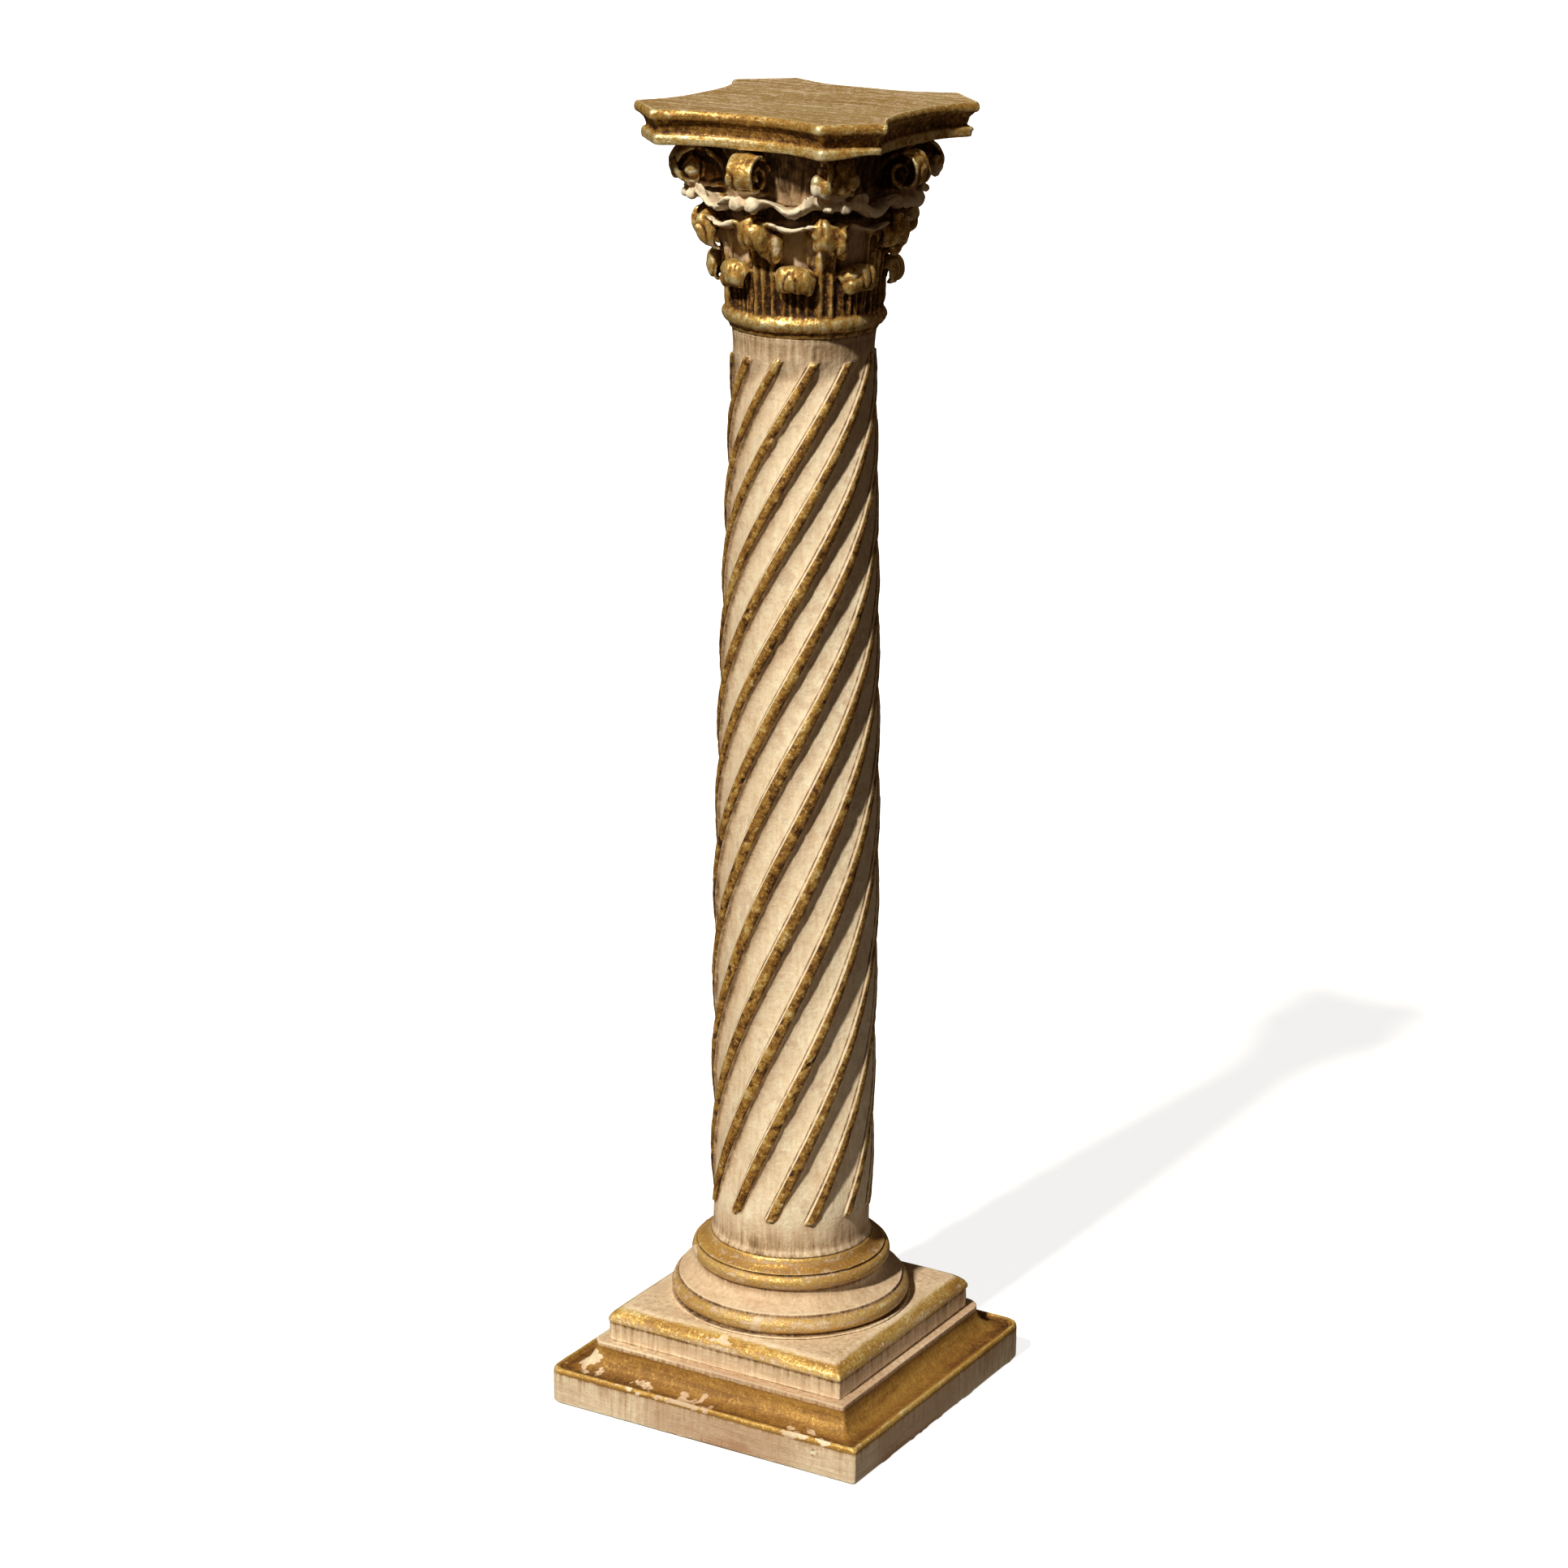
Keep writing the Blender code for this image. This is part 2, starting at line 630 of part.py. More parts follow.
def abacus_rings(foot):
    """Return the top board's outlines from its foot to its top."""
    ease = ABACUS_EASE
    worn = ABACUS_TOP_ROUND
    rows = [
        (0.00, FOOT_SIDE_IN + ease, FOOT_MIDDLE_IN + ease),
        (0.06, FOOT_SIDE_IN + 0.2 * ease, FOOT_MIDDLE_IN + 0.2 * ease),
        (0.20, FOOT_SIDE_IN, FOOT_MIDDLE_IN),
        (0.29, FOOT_SIDE_IN + ease, FOOT_MIDDLE_IN + ease),
        (0.34, COVE_SIDE_IN, COVE_MIDDLE_IN),
        (0.49, COVE_SIDE_IN - ease, COVE_MIDDLE_IN - ease),
        (0.63, 0.5 * COVE_SIDE_IN, 0.5 * COVE_MIDDLE_IN),
        (0.72, 0.5 * ease, 0.5 * ease),
        (0.84, 0.0, 0.0),
        (0.94, 0.3 * worn, 0.3 * worn),
        (1.00, worn, worn),
    ]
    rings = []
    for share, side_in, middle_in in rows:
        height = foot + share * ABACUS_HEIGHT
        rings.append(plan(LIP_HALF - side_in, LIP_CUT - 0.2 * side_in, LIP_MIDDLE - middle_in, height))
    return rings


def build():
    """Build the column from the ground up, each piece on the one below it."""
    clear_scene()
    group = collection(COLLECTION)
    carved = collection("carving_shapes")
    cream = (0.72, 0.62, 0.44)
    gold = (0.62, 0.43, 0.16)

    profile, top = board_profile()
    squared("plinth_board", profile, group, material("plinth_board", cream, 0.62, 0.0))

    profile, top = block_profile(top + GAP)
    squared("plinth_block", profile, group, material("plinth_block", cream, 0.62, 0.0))

    profile, top = base_profile(top + GAP)
    turned("turned_base", profile, TURN_STEPS, group, material("turned_base", gold, 0.42, 0.55))

    foot = top + GAP
    shaft = lofted("shaft", shaft_rings(foot), group, material("shaft", cream, 0.58, 0.0))
    smooth(shaft, 50.0)

    foot = foot + SHAFT_LENGTH + GAP
    made = capital(foot, group, carved, material("capital", gold, 0.42, 0.55))
    smooth(made, 40.0)

    foot = foot + CAPITAL_HEIGHT + GAP
    board = lofted("abacus", abacus_rings(foot), group, material("abacus", gold, 0.45, 0.50))
    smooth(board, 35.0)


build()
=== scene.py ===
"""The looks of a carved and gilded wooden column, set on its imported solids.

Metres, +Z up. Angles round the column run from -Y towards +X, in degrees. Each piece is a surface
worked out on a grid: rows along a profile or a path, columns round the piece. Numbers such as how
gilded a place is are kept on its points and read by the finishes.
"""

import bpy
import numpy as np
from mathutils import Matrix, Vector


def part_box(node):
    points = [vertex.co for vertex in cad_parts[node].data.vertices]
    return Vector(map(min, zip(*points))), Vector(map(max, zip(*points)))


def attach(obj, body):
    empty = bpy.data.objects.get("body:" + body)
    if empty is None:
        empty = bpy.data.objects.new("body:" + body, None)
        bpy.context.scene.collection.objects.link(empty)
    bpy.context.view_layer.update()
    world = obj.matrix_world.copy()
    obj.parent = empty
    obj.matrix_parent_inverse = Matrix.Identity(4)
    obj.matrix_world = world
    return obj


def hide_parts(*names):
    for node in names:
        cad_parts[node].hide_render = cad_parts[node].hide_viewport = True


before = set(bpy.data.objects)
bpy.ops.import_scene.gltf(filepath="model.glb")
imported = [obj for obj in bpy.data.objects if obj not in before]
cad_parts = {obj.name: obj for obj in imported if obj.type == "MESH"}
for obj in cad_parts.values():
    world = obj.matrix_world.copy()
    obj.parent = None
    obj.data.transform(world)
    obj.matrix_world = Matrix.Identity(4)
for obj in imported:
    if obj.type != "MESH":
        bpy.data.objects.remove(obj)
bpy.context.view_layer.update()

SEED = 41


# Numbers for carving and wear


def lattice(ix, iy, iz, seed):
    """A fixed number from 0 to 1 for each lattice corner: its whole numbers and the seed,
    multiplied by large odd numbers, added and shuffled bit by bit."""
    mixed = (ix * 374761393 + iy * 668265263 + iz * 1440662683 + seed * 1274126177) & 0xFFFFFFFF
    mixed = ((mixed ^ (mixed >> 13)) * 1274126177) & 0xFFFFFFFF
    mixed = ((mixed ^ (mixed >> 15)) * 2246822519) & 0xFFFFFFFF
    return ((mixed ^ (mixed >> 16)) & 0xFFFF) / 65535.0


def soft_noise(places, seed):
    """Smooth noise from -1 to 1: the eight lattice numbers round a place, blended by 3t^2 - 2t^3."""
    whole = np.floor(places).astype(np.int64)
    t = places - whole
    t = t * t * (3.0 - 2.0 * t)
    total = np.zeros(places.shape[:-1])
    for corner in np.ndindex(2, 2, 2):
        weight = np.ones(places.shape[:-1])
        for k in range(3):
            weight = weight * (t[..., k] if corner[k] else 1.0 - t[..., k])
        at = [whole[..., k] + corner[k] for k in range(3)]
        total += weight * lattice(at[0], at[1], at[2], seed)
    return 2.0 * total - 1.0


def noise(points, size, octaves=3, seed=0, squash=(1.0, 1.0, 1.0)):
    """Sum of soft noises, each of half the size and strength of the last, about -1 to 1."""
    places = points * np.array(squash) / size
    total = np.zeros(points.shape[:-1])
    strength, whole = 1.0, 0.0
    for octave in range(octaves):
        total += strength * soft_noise(places * 2.0**octave + 17.3 * octave, seed + SEED + octave)
        whole += strength
        strength *= 0.5
    return total / whole * 1.5


def ramp(value, low, high):
    """0 below low, 1 above high, and 3t^2 - 2t^3 between."""
    t = np.clip((value - low) / (high - low), 0.0, 1.0)
    return t * t * (3.0 - 2.0 * t)


def swell(value, width):
    """The bell curve exp(-(value / width)^2)."""
    return np.exp(-((value / width) ** 2))


def near(value, middle, reach, soft):
    """1 round the middle, falling to 0 over the last `soft` before `reach` on either side."""
    return ramp(reach - np.abs(value - middle), 0.0, soft)


def rounded(value, power):
    """sign(v) |v|^p: a sine or cosine made squarer."""
    return np.sign(value) * np.abs(value) ** power


def closed_turn(count):
    """Even angles once round, in radians, without the last one."""
    return np.linspace(0.0, 2.0 * np.pi, count, endpoint=False)


def around(radius, degrees, height):
    """The point (radius sin a, -radius cos a, height) at the angle a from -Y towards +X."""
    turn = np.radians(degrees)
    return np.stack(np.broadcast_arrays(radius * np.sin(turn), -radius * np.cos(turn), height), -1)


# Lines, grids and meshes


def even_line(points, step):
    """The line through the points, cut in even steps, with every column carried along."""
    points = np.array(points, float)
    along = np.concatenate([[0.0], np.cumsum(np.hypot(*np.diff(points[:, :2], axis=0).T))])
    cuts = np.linspace(0.0, along[-1], max(2, int(round(along[-1] / step)) + 1))
    return np.stack([np.interp(cuts, along, points[:, k]) for k in range(points.shape[1])], -1)


def worn_line(points, step, soften):
    """An even line, each point the mean of its neighbours under a bell curve `soften` wide, as wear
    rounds an edge. The two ends stay."""
    line = even_line(points, step)
    reach = max(1, int(3.0 * soften / step))
    weights = np.exp(-0.5 * (np.arange(-reach, reach + 1) * step / soften) ** 2)
    weights /= weights.sum()
    before = 2.0 * line[0] - line[reach:0:-1]
    after = 2.0 * line[-1] - line[-2 : -reach - 2 : -1]
    longer = np.concatenate([before, line, after])
    smooth = [np.convolve(longer[:, k], weights, "valid") for k in range(line.shape[1])]
    return np.stack(smooth, -1)


def grid_outward(grid):
    """Unit normals of a grid whose columns close: the cross product of its two differences."""
    along = np.gradient(grid, axis=0)
    across = np.roll(grid, -1, axis=1) - np.roll(grid, 1, axis=1)
    normal = np.cross(across, along)
    return normal / np.maximum(np.linalg.norm(normal, axis=-1, keepdims=True), 1e-12)


def skin(grid, endless=False):
    """Points and faces of a grid. Point (i, j) joins (i, j+1), (i+1, j+1) and (i+1, j), and columns
    close. The end rows are closed by fans, or joined where the grid is endless."""
    rows, cols = grid.shape[:2]
    count = rows if endless else rows - 1
    i, j = np.meshgrid(np.arange(count), np.arange(cols), indexing="ij")
    n, m = (i + 1) % rows, (j + 1) % cols
    quads = np.stack([i * cols + j, i * cols + m, n * cols + m, n * cols + j], -1).reshape(-1, 4)
    points = grid.reshape(-1, 3)
    if endless:
        return points, quads, np.zeros((0, 3), int)
    points = np.concatenate([points, grid[0].mean(0)[None], grid[-1].mean(0)[None]])
    j, m = j[0], m[0]
    first = np.stack([m, j, np.full(cols, rows * cols)], -1)
    base = (rows - 1) * cols
    last = np.stack([base + j, base + m, np.full(cols, rows * cols + 1)], -1)
    return points, quads, np.concatenate([first, last])


def volume(points, quads, fans):
    """Signed volume: a sixth of the sum of the triple products of the triangles' corners."""
    triangles = np.concatenate([quads[:, [0, 1, 2]], quads[:, [0, 2, 3]], fans])
    a, b, c = (points[triangles[:, k]] for k in range(3))
    return np.einsum("ij,ij->i", a, np.cross(b, c)).sum() / 6.0


def mesh_of(name, shells):
    """One mesh of closed shells, each turned so that its faces point out."""
    points, faces, start = [], [], 0
    for spots, quads, fans in shells:
        if volume(spots, quads, fans) < 0.0:
            quads, fans = quads[:, ::-1], fans[:, ::-1]
        points.append(spots)
        faces += (quads + start).tolist() + (fans + start).tolist()
        start += len(spots)
    mesh = bpy.data.meshes.new(name)
    mesh.from_pydata(np.concatenate(points).tolist(), [], faces)
    mesh.update()
    return mesh


def mesh_points(mesh, layer="vertices", key="co"):
    """One row of three numbers for each point of the mesh."""
    flat = np.zeros(3 * len(mesh.vertices), np.float32)
    getattr(mesh, layer).foreach_get(key, flat)
    return flat.reshape(-1, 3).astype(float)


def move_points(mesh, points):
    """Put the mesh's points at these places."""
    mesh.vertices.foreach_set("co", points.astype(np.float32).ravel())
    mesh.update()


def mesh_outward(mesh):
    """The mesh's normals at its points."""
    return mesh_points(mesh, "vertex_normals", "vector")


def neighbour_mean(mesh, values, rounds):
    """Each value drawn half-way to the mean of its neighbours, `rounds` times."""
    flat = np.zeros(2 * len(mesh.edges), np.int32)
    mesh.edges.foreach_get("vertices", flat)
    a, b = flat.reshape(-1, 2).T
    count = len(mesh.vertices)
    shared = np.maximum(np.bincount(a, minlength=count) + np.bincount(b, minlength=count), 1)
    for _ in range(rounds):
        sums = np.zeros_like(values)
        for k in range(values.shape[1]):
            sums[:, k] = np.bincount(a, values[b, k], count) + np.bincount(b, values[a, k], count)
        values = 0.5 * values + 0.5 * sums / shared[:, None]
    return values


def standing(mesh, rounds):
    """How far each point stands out of its smoothed surroundings, along its normal."""
    points = mesh_points(mesh)
    return np.einsum("ij,ij->i", points - neighbour_mean(mesh, points, rounds), mesh_outward(mesh))


def keep_number(mesh, name, values, ends=()):
    """Store one number for each point; `ends` are for the two that close a grid."""
    layer = mesh.attributes.new(name, "FLOAT", "POINT")
    layer.data.foreach_set("value", np.append(values, ends).astype(np.float32))


def keep_rows(mesh, line, loss, mark=0.0):
    """Store a profile's gilding and darkening on every column, the darkening being real stains and
    painted shade. The gilding is gone where the loss is 1, and the mark is added to the darkening."""
    keep_number(mesh, "gilt", line[:, 2:3] * (1.0 - loss), line[[0, -1], 2])
    keep_number(mesh, "stain", line[:, 3:4] + mark + 0.0 * loss, line[[0, -1], 3])


def add_item(name, data):
    """An object in the scene that shows this mesh, lamp or camera."""
    item = bpy.data.objects.new(name, data)
    bpy.context.scene.collection.objects.link(item)
    return item


def piece(node, mesh):
    """Finish a mesh and put it in the scene in place of a solid of the frame."""
    mesh.shade_smooth()
    mesh.materials.append(aged_gilding(node, *TONES[node]))
    item = add_item(node + "_look", mesh)
    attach(item, "root")
    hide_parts(node)


def mark_edges_and_hollows(mesh, fine, fine_scale, broad, broad_scale):
    """Keep `edge`, over a few millimetres, and `recess`, over a centimetre or more: below 0 in a
    hollow, above 0 on an edge. The finish reads `edge` as wear and `recess` as brown wax with painted
    shade."""
    keep_number(mesh, "edge", np.clip(standing(mesh, fine) / fine_scale, -1.5, 1.5))
    keep_number(mesh, "recess", np.clip(standing(mesh, broad) / broad_scale, -1.0, 1.0))


# Finishes


class Wire:
    """One output in a finish. Sums written with it add the nodes that work them out."""

    def __init__(self, finish, socket):
        self.finish = finish
        self.socket = socket

    def __add__(self, other):
        return self.finish.sum("ADD", self, other)

    def __sub__(self, other):
        return self.finish.sum("SUBTRACT", self, other)

    def __rsub__(self, other):
        return self.finish.sum("SUBTRACT", other, self)

    def __mul__(self, other):
        return self.finish.sum("MULTIPLY", self, other)

    __radd__ = __add__
    __rmul__ = __mul__


class Finish:
    """One material and the nodes that make it."""

    def __init__(self, name):
        self.material = bpy.data.materials.new(name)
        self.material.use_nodes = True
        self.tree = self.material.node_tree
        self.shader = self.tree.nodes["Principled BSDF"]
        self.shader.inputs["Specular IOR Level"].default_value = 0.35
        self.places = self.node("ShaderNodeTexCoord", {}, {}, "Object")

    def put(self, socket, value):
        """Link a wire to a socket, or set the socket's own value."""
        if isinstance(value, Wire):
            self.tree.links.new(value.socket, socket)
        else:
            socket.default_value = value

    def node(self, kind, settings, sockets, out=0):
        """Add a node: first its settings, a ramp's stops among them, then its sockets."""
        made = self.tree.nodes.new(kind)
        for name, value in settings.items():
            if name == "stops":
                while len(made.color_ramp.elements) < len(value):
                    made.color_ramp.elements.new(0.5)
                for stop, (place, colour) in zip(made.color_ramp.elements, value):
                    stop.position = place
                    stop.color = (*colour, 1.0)
            else:
                setattr(made, name, value)
        for name, value in sockets.items():
            self.put(made.inputs[name], value)
        return Wire(self, made.outputs[out])

    def sum(self, operation, first, second):
        """Add a Math node for two wires or numbers."""
        return self.node("ShaderNodeMath", {"operation": operation}, {0: first, 1: second})

    def number(self, name):
        """Read a number that is kept on the surface's points."""
        return self.node("ShaderNodeAttribute", {"attribute_name": name}, {}, "Fac")

    def step(self, value, low, high):
        """0 below low, 1 above high, smooth between."""
        settings = {"interpolation_type": "SMOOTHSTEP", "clamp": True}
        sockets = {0: value, 1: low, 2: high, 3: 0.0, 4: 1.0}
        return self.node("ShaderNodeMapRange", settings, sockets)

    def mottle(self, scale, detail=3.0, rough=0.55, squash=(1.0, 1.0, 1.0), warp=0.0):
        """Noise from 0 to 1 with `scale` waves a metre, drawn out along the axes by squash."""
        place = self.node("ShaderNodeMapping", {}, {"Vector": self.places, "Scale": squash})
        sockets = {"Vector": place, "Scale": scale, "Detail": detail}
        sockets.update({"Roughness": rough, "Distortion": warp})
        return self.node("ShaderNodeTexNoise", {}, sockets, "Fac")

    def colours(self, value, stops):
        """The colour at a value between stops of place and colour."""
        return self.node("ShaderNodeValToRGB", {"stops": stops}, {"Fac": value}, "Color")

    def blend(self, share, first, second):
        """A colour between two colours, the second where the share is 1."""
        first, second = ((*c, 1.0) if isinstance(c, tuple) else c for c in (first, second))
        settings = {"data_type": "RGBA", "clamp_factor": True}
        return self.node("ShaderNodeMix", settings, {0: share, 6: first, 7: second}, 2)

    def fill(self, values):
        """Put each value in the shader's socket of that name."""
        for name, value in values.items():
            self.put(self.shader.inputs[name], value)

    def surface(self, colour, roughness, metallic, height, depth):
        """Link the results to the shader, with the height as a bump `depth` metres deep."""
        sockets = {"Height": height, "Distance": depth, "Strength": 1.0}
        bump = self.node("ShaderNodeBump", {}, sockets)
        self.fill({"Base Color": colour, "Roughness": roughness, "Metallic": metallic, "Normal": bump})
        return self.material


GOLD = [
    (0.00, (0.026, 0.010, 0.003)),
    (0.20, (0.100, 0.040, 0.009)),
    (0.40, (0.260, 0.124, 0.025)),
    (0.58, (0.455, 0.250, 0.056)),
    (0.76, (0.720, 0.475, 0.140)),
    (1.00, (0.970, 0.840, 0.480)),
]
CREAM = [
    (0.00, (0.050, 0.028, 0.012)),
    (0.22, (0.190, 0.115, 0.055)),
    (0.46, (0.470, 0.325, 0.190)),
    (0.68, (0.745, 0.570, 0.390)),
    (0.86, (0.880, 0.748, 0.545)),
    (1.00, (0.960, 0.885, 0.680)),
]
ROSE = (0.5, 0.3, 0.18)
LEVEL = (0.12, 0.12, 1.0)
LONG = (0.05, 0.05, 1.0)
UPRIGHT = (1.0, 1.0, 0.08)


def aged_gilding(name, gold_tone, cream_tone, blotch, streak, brush, shine=0.35):
    """Gold leaf and cream paint on gesso. `gilt` on the points says where the leaf lies, its edge
    broken by noise; `edge` rubs it bright on edges; `recess` makes both darker in broad hollows and
    lighter on broad swells, as brown wax and painted shade together. The darkening kept on the points
    darkens both, as real stains and as painted shade, and below 0 lightens them as painted light.
    The gold is streaked along `streak`, the paint brushed upright, with a rosy flush in patches and
    where `blush` is."""
    f = Finish(name)
    gilt, edge, recess = f.number("gilt"), f.number("edge"), f.number("recess")
    stain = f.number("stain")
    broad = tuple(min(1.0, 3.0 * share) for share in streak)
    patches = f.mottle(34.0, 3.0, 0.62, broad) - 0.5
    blots = f.mottle(150.0, 4.0, 0.68, warp=0.8) - 0.5
    specks = f.mottle(430.0, 3.0, 0.7)
    rubs = f.mottle(190.0, 4.0, 0.66, streak, 0.15) - 0.5
    strokes = f.mottle(260.0, 3.0, 0.62, UPRIGHT, 0.1) - 0.5
    grain = specks - 0.5

    leaf = f.step(gilt + blots * 0.7 + grain * 0.5 + rubs * 0.6, 0.36, 0.6)
    glints = f.step(specks + blots * 0.3, 0.58, 0.7)
    # recess: brown wax and painted shade, darker in broad hollows and lighter on broad swells
    tone = 0.5 + gold_tone + edge * 0.28 + recess * 0.2
    tone = tone + patches * 0.6 + (blots + grain * 0.8 + rubs * 1.1 + glints * 0.26) * blotch
    # The darkening is real stains and painted shade, and painted light where it is below 0.
    tone = tone - stain * 0.52
    gold = f.colours(tone, GOLD)
    # the paint's recess term is brown wax and painted shade as well
    paint = 0.82 + cream_tone + edge * 0.1 + recess * 0.22
    paint = paint + patches * 0.5 + blots * 0.4 + grain * 0.2
    paint = paint + strokes * (stain * 1.1 + brush) - stain * 0.66
    cream = f.colours(paint, CREAM)
    flush = f.step(patches + rubs * 0.8 + strokes * brush * 0.5, 0.02, 0.22)
    rosy = (flush + f.number("blush") * 1.3) * (0.44 - stain * 0.5)
    cream = f.blend(rosy, cream, ROSE)
    colour = f.blend(leaf, cream, gold)

    polish = f.step(tone, 0.3, 0.8)
    metal = leaf * polish * shine
    rough = 0.62 - leaf * polish * 0.24 + grain * 0.3
    height = blots * 0.4 + specks * 0.4 + strokes * brush * 0.6 + rubs * 0.35 + leaf * 0.12
    return f.surface(colour, rough, metal, height, 0.0012)


# The square foot


def quarter_turn(flat, count):
    """Places turned about the origin by this many quarters."""
    c, d = ((1, 0), (0, 1), (-1, 0), (0, -1))[count]
    return flat @ np.array([[c, d], [-d, c]])


def square_sweep(line, radii, side_steps, turn_steps):
    """Carry a profile of half-widths h and heights round a square. A side is (s (h - r), -h) for s
    from -1 to 1, its corner radius r running from one corner's to the next one's; a corner is
    (h - r)(1, -1) + r (sin a, -cos a)."""
    half, height = line[:, 0], line[:, 1]
    radii = np.array(radii)
    columns = []
    for quarter in range(4):
        now, then = radii[quarter], radii[(quarter + 1) % 4]
        s = np.linspace(-1.0, 1.0, side_steps, endpoint=False)
        r = np.minimum(now + (then - now) * (0.5 + 0.5 * s)[None, :], 0.5 * half[:, None])
        side = np.stack([s[None, :] * (half[:, None] - r), -half[:, None] + 0.0 * r], -1)
        a = np.linspace(0.0, 0.5 * np.pi, turn_steps, endpoint=False)
        r = np.minimum(then, 0.5 * half)[:, None]
        inner = half[:, None] - r
        bend = np.stack([inner + r * np.sin(a), -inner - r * np.cos(a)], -1)
        flat = np.concatenate([side, bend], axis=1)
        columns.append(quarter_turn(flat, quarter))
    flat = np.concatenate(columns, axis=1)
    tall = np.broadcast_to(height[:, None, None], flat.shape[:2] + (1,))
    return np.concatenate([flat, tall], -1)


def flat_rows(outer, inner, count):
    """Evenly spaced rows from one profile point to another, without the outer point itself."""
    share = np.linspace(0.0, 1.0, count + 1)[1:, None]
    return np.array(outer)[None, :] * (1.0 - share) + np.array(inner)[None, :] * share


def closed_profile(visible, step, soften, top_inner, foot_inner, top_rows, foot_rows):
    """A softened profile with flat rows in over its top and its underside."""
    line = worn_line(visible, step, soften)
    top = flat_rows(line[0], (top_inner, *line[0][1:]), top_rows)[::-1]
    foot = flat_rows(line[-1], (foot_inner, *line[-1][1:]), foot_rows)
    return np.concatenate([top, line, foot])


def wear_down(grid, seed, wave, wave_size, chip, chip_size):
    """Move a grid along its normals: slow waves of hand work, and chips where the surface bends
    sharply and the chip noise is high."""
    out = grid_outward(grid)
    waves = wave * noise(grid, wave_size, 2, seed)
    nearby = grid.copy()
    for _ in range(4):
        left, right = (np.roll(nearby, k, 1)[1:-1] for k in (1, -1))
        nearby[1:-1] = 0.25 * (nearby[2:] + nearby[:-2] + left + right)
    bend_mm = np.abs(np.einsum("ijk,ijk->ij", grid - nearby, out)) * 1000.0
    bite = ramp(noise(grid, chip_size, 3, seed + 7), 0.25, 0.75)
    ragged = 0.6 + 0.4 * noise(grid, 0.25 * chip_size, 2, seed + 9)
    return grid + out * (waves - chip * ramp(bend_mm, 0.1, 0.55) * bite * ragged)[..., None]


# Losses of the leaf on the board: x, y and z of the middle, length along the side, height
LEAF_LOSSES = (
    (-0.124, -0.127, 0.0385, 0.017, 0.0075),
    (0.0935, -0.149, 0.0315, 0.013, 0.0040),
    (-0.016, -0.149, 0.0315, 0.019, 0.0028),
    (0.119, -0.149, 0.0315, 0.008, 0.0035),
)
PLUG_X = 0.111
PLUG_Z = 0.0195
PLUG_R = 0.0026


def leaf_loss(points, seed, spots):
    """1 where the leaf is gone: where broad noise is high, and round the spots, with a ragged
    outline."""
    fine = noise(points, 0.006, 2, seed + 1)
    loss = noise(points, 0.04, 3, seed, (0.6, 0.6, 1.6)) + 0.22 * fine - 0.1
    for x, y, z, length, height in spots:
        away = np.hypot(points[..., 0] - x, points[..., 1] - y) / length
        away = np.hypot(away, (points[..., 2] - z) / height)
        loss = np.maximum(loss, 1.05 - 0.5 * away + 0.35 * fine)
    return ramp(loss, 0.5, 0.56)


def board_plug(points):
    """A filled nail hole in the board's front: pale inside, with a thin dark rim."""
    away = np.hypot(points[..., 0] - PLUG_X, points[..., 2] - PLUG_Z)
    front = ramp(-points[..., 1], 0.145, 0.148)
    pale = 0.9 * ramp(PLUG_R - 0.0001 - away, 0.0, 0.0006)
    return front * (0.75 * swell(away - PLUG_R, 0.0007) - pale)


def board_blush(points):
    """The rosy wash: on the middle of the front, and in patches on the other faces."""
    x, y = points[..., 0], points[..., 1]
    front = ramp(-y, 0.14, 0.146)
    patch = ramp(noise(points, 0.11, 2, 77), 0.0, 0.5)
    middle = ramp(x, -0.065, -0.035) * ramp(0.105 - x, 0.0, 0.03)
    return front * middle + (1.0 - front) * patch


def square_piece(name, visible, radii, settings, spots):
    """Sweep a square moulding, wear it down and keep its numbers. The settings are the profile's
    step and softening, the innermost half-width on top, the columns on a side and on a corner, and
    the seed. With `spots` it gets the board's marks."""
    step, soften, top_inner, side_steps, turn_steps, seed = settings
    line = closed_profile(visible, step, soften, top_inner, 0.03, 34, 10)
    grid = square_sweep(line[:, :2], radii, side_steps, turn_steps)
    foot = grid[..., 2].min()
    worn = wear_down(grid, seed, 0.00028, 0.055, 0.0012, 0.016)
    worn[..., 2] = np.maximum(worn[..., 2], foot)
    worn[grid[..., 2] <= foot + 1e-6, 2] = foot
    worn[..., :2] = np.clip(worn[..., :2], -line[:, 0].max(), line[:, 0].max())
    mesh = mesh_of(name, [skin(worn)])
    mark = board_plug(worn) if spots else 0.0
    keep_rows(mesh, line, leaf_loss(worn, seed + 40, spots), mark)
    if spots:
        keep_number(mesh, "blush", board_blush(worn), (0.0, 0.0))
    mark_edges_and_hollows(mesh, 4, 0.00035, 24, 0.006)
    return mesh


BOARD_HALF = 0.15
BOARD_FACE = 0.0282
BOARD_BEAD = 0.0038
BOARD_BEAD_IN = 0.005
QUIRK_IN = 0.0036
QUIRK_DEPTH = 0.0028
COVE_HEIGHT = 0.021
COVE_IN = 0.018
BOARD_FILLET = 0.003
BLOCK_HALF = 0.1144
BLOCK_FACE = 0.015
BLOCK_EDGE_OUT = 0.001
BLOCK_EDGE_HEIGHT = 0.014
BLOCK_EDGE_IN = 0.014
# The block's edge: shares of the way in and of its height, then the gilding
BLOCK_EDGE = (
    (1.0, 1.0, 0.2), (0.78, 0.96, 0.3), (0.58, 0.86, 0.5), (0.40, 0.74, 0.8), (0.24, 0.60, 0.66),
    (0.11, 0.46, 0.60), (0.04, 0.32, 0.56), (0.0, 0.18, 0.54), (0.02, 0.10, 0.5),
)


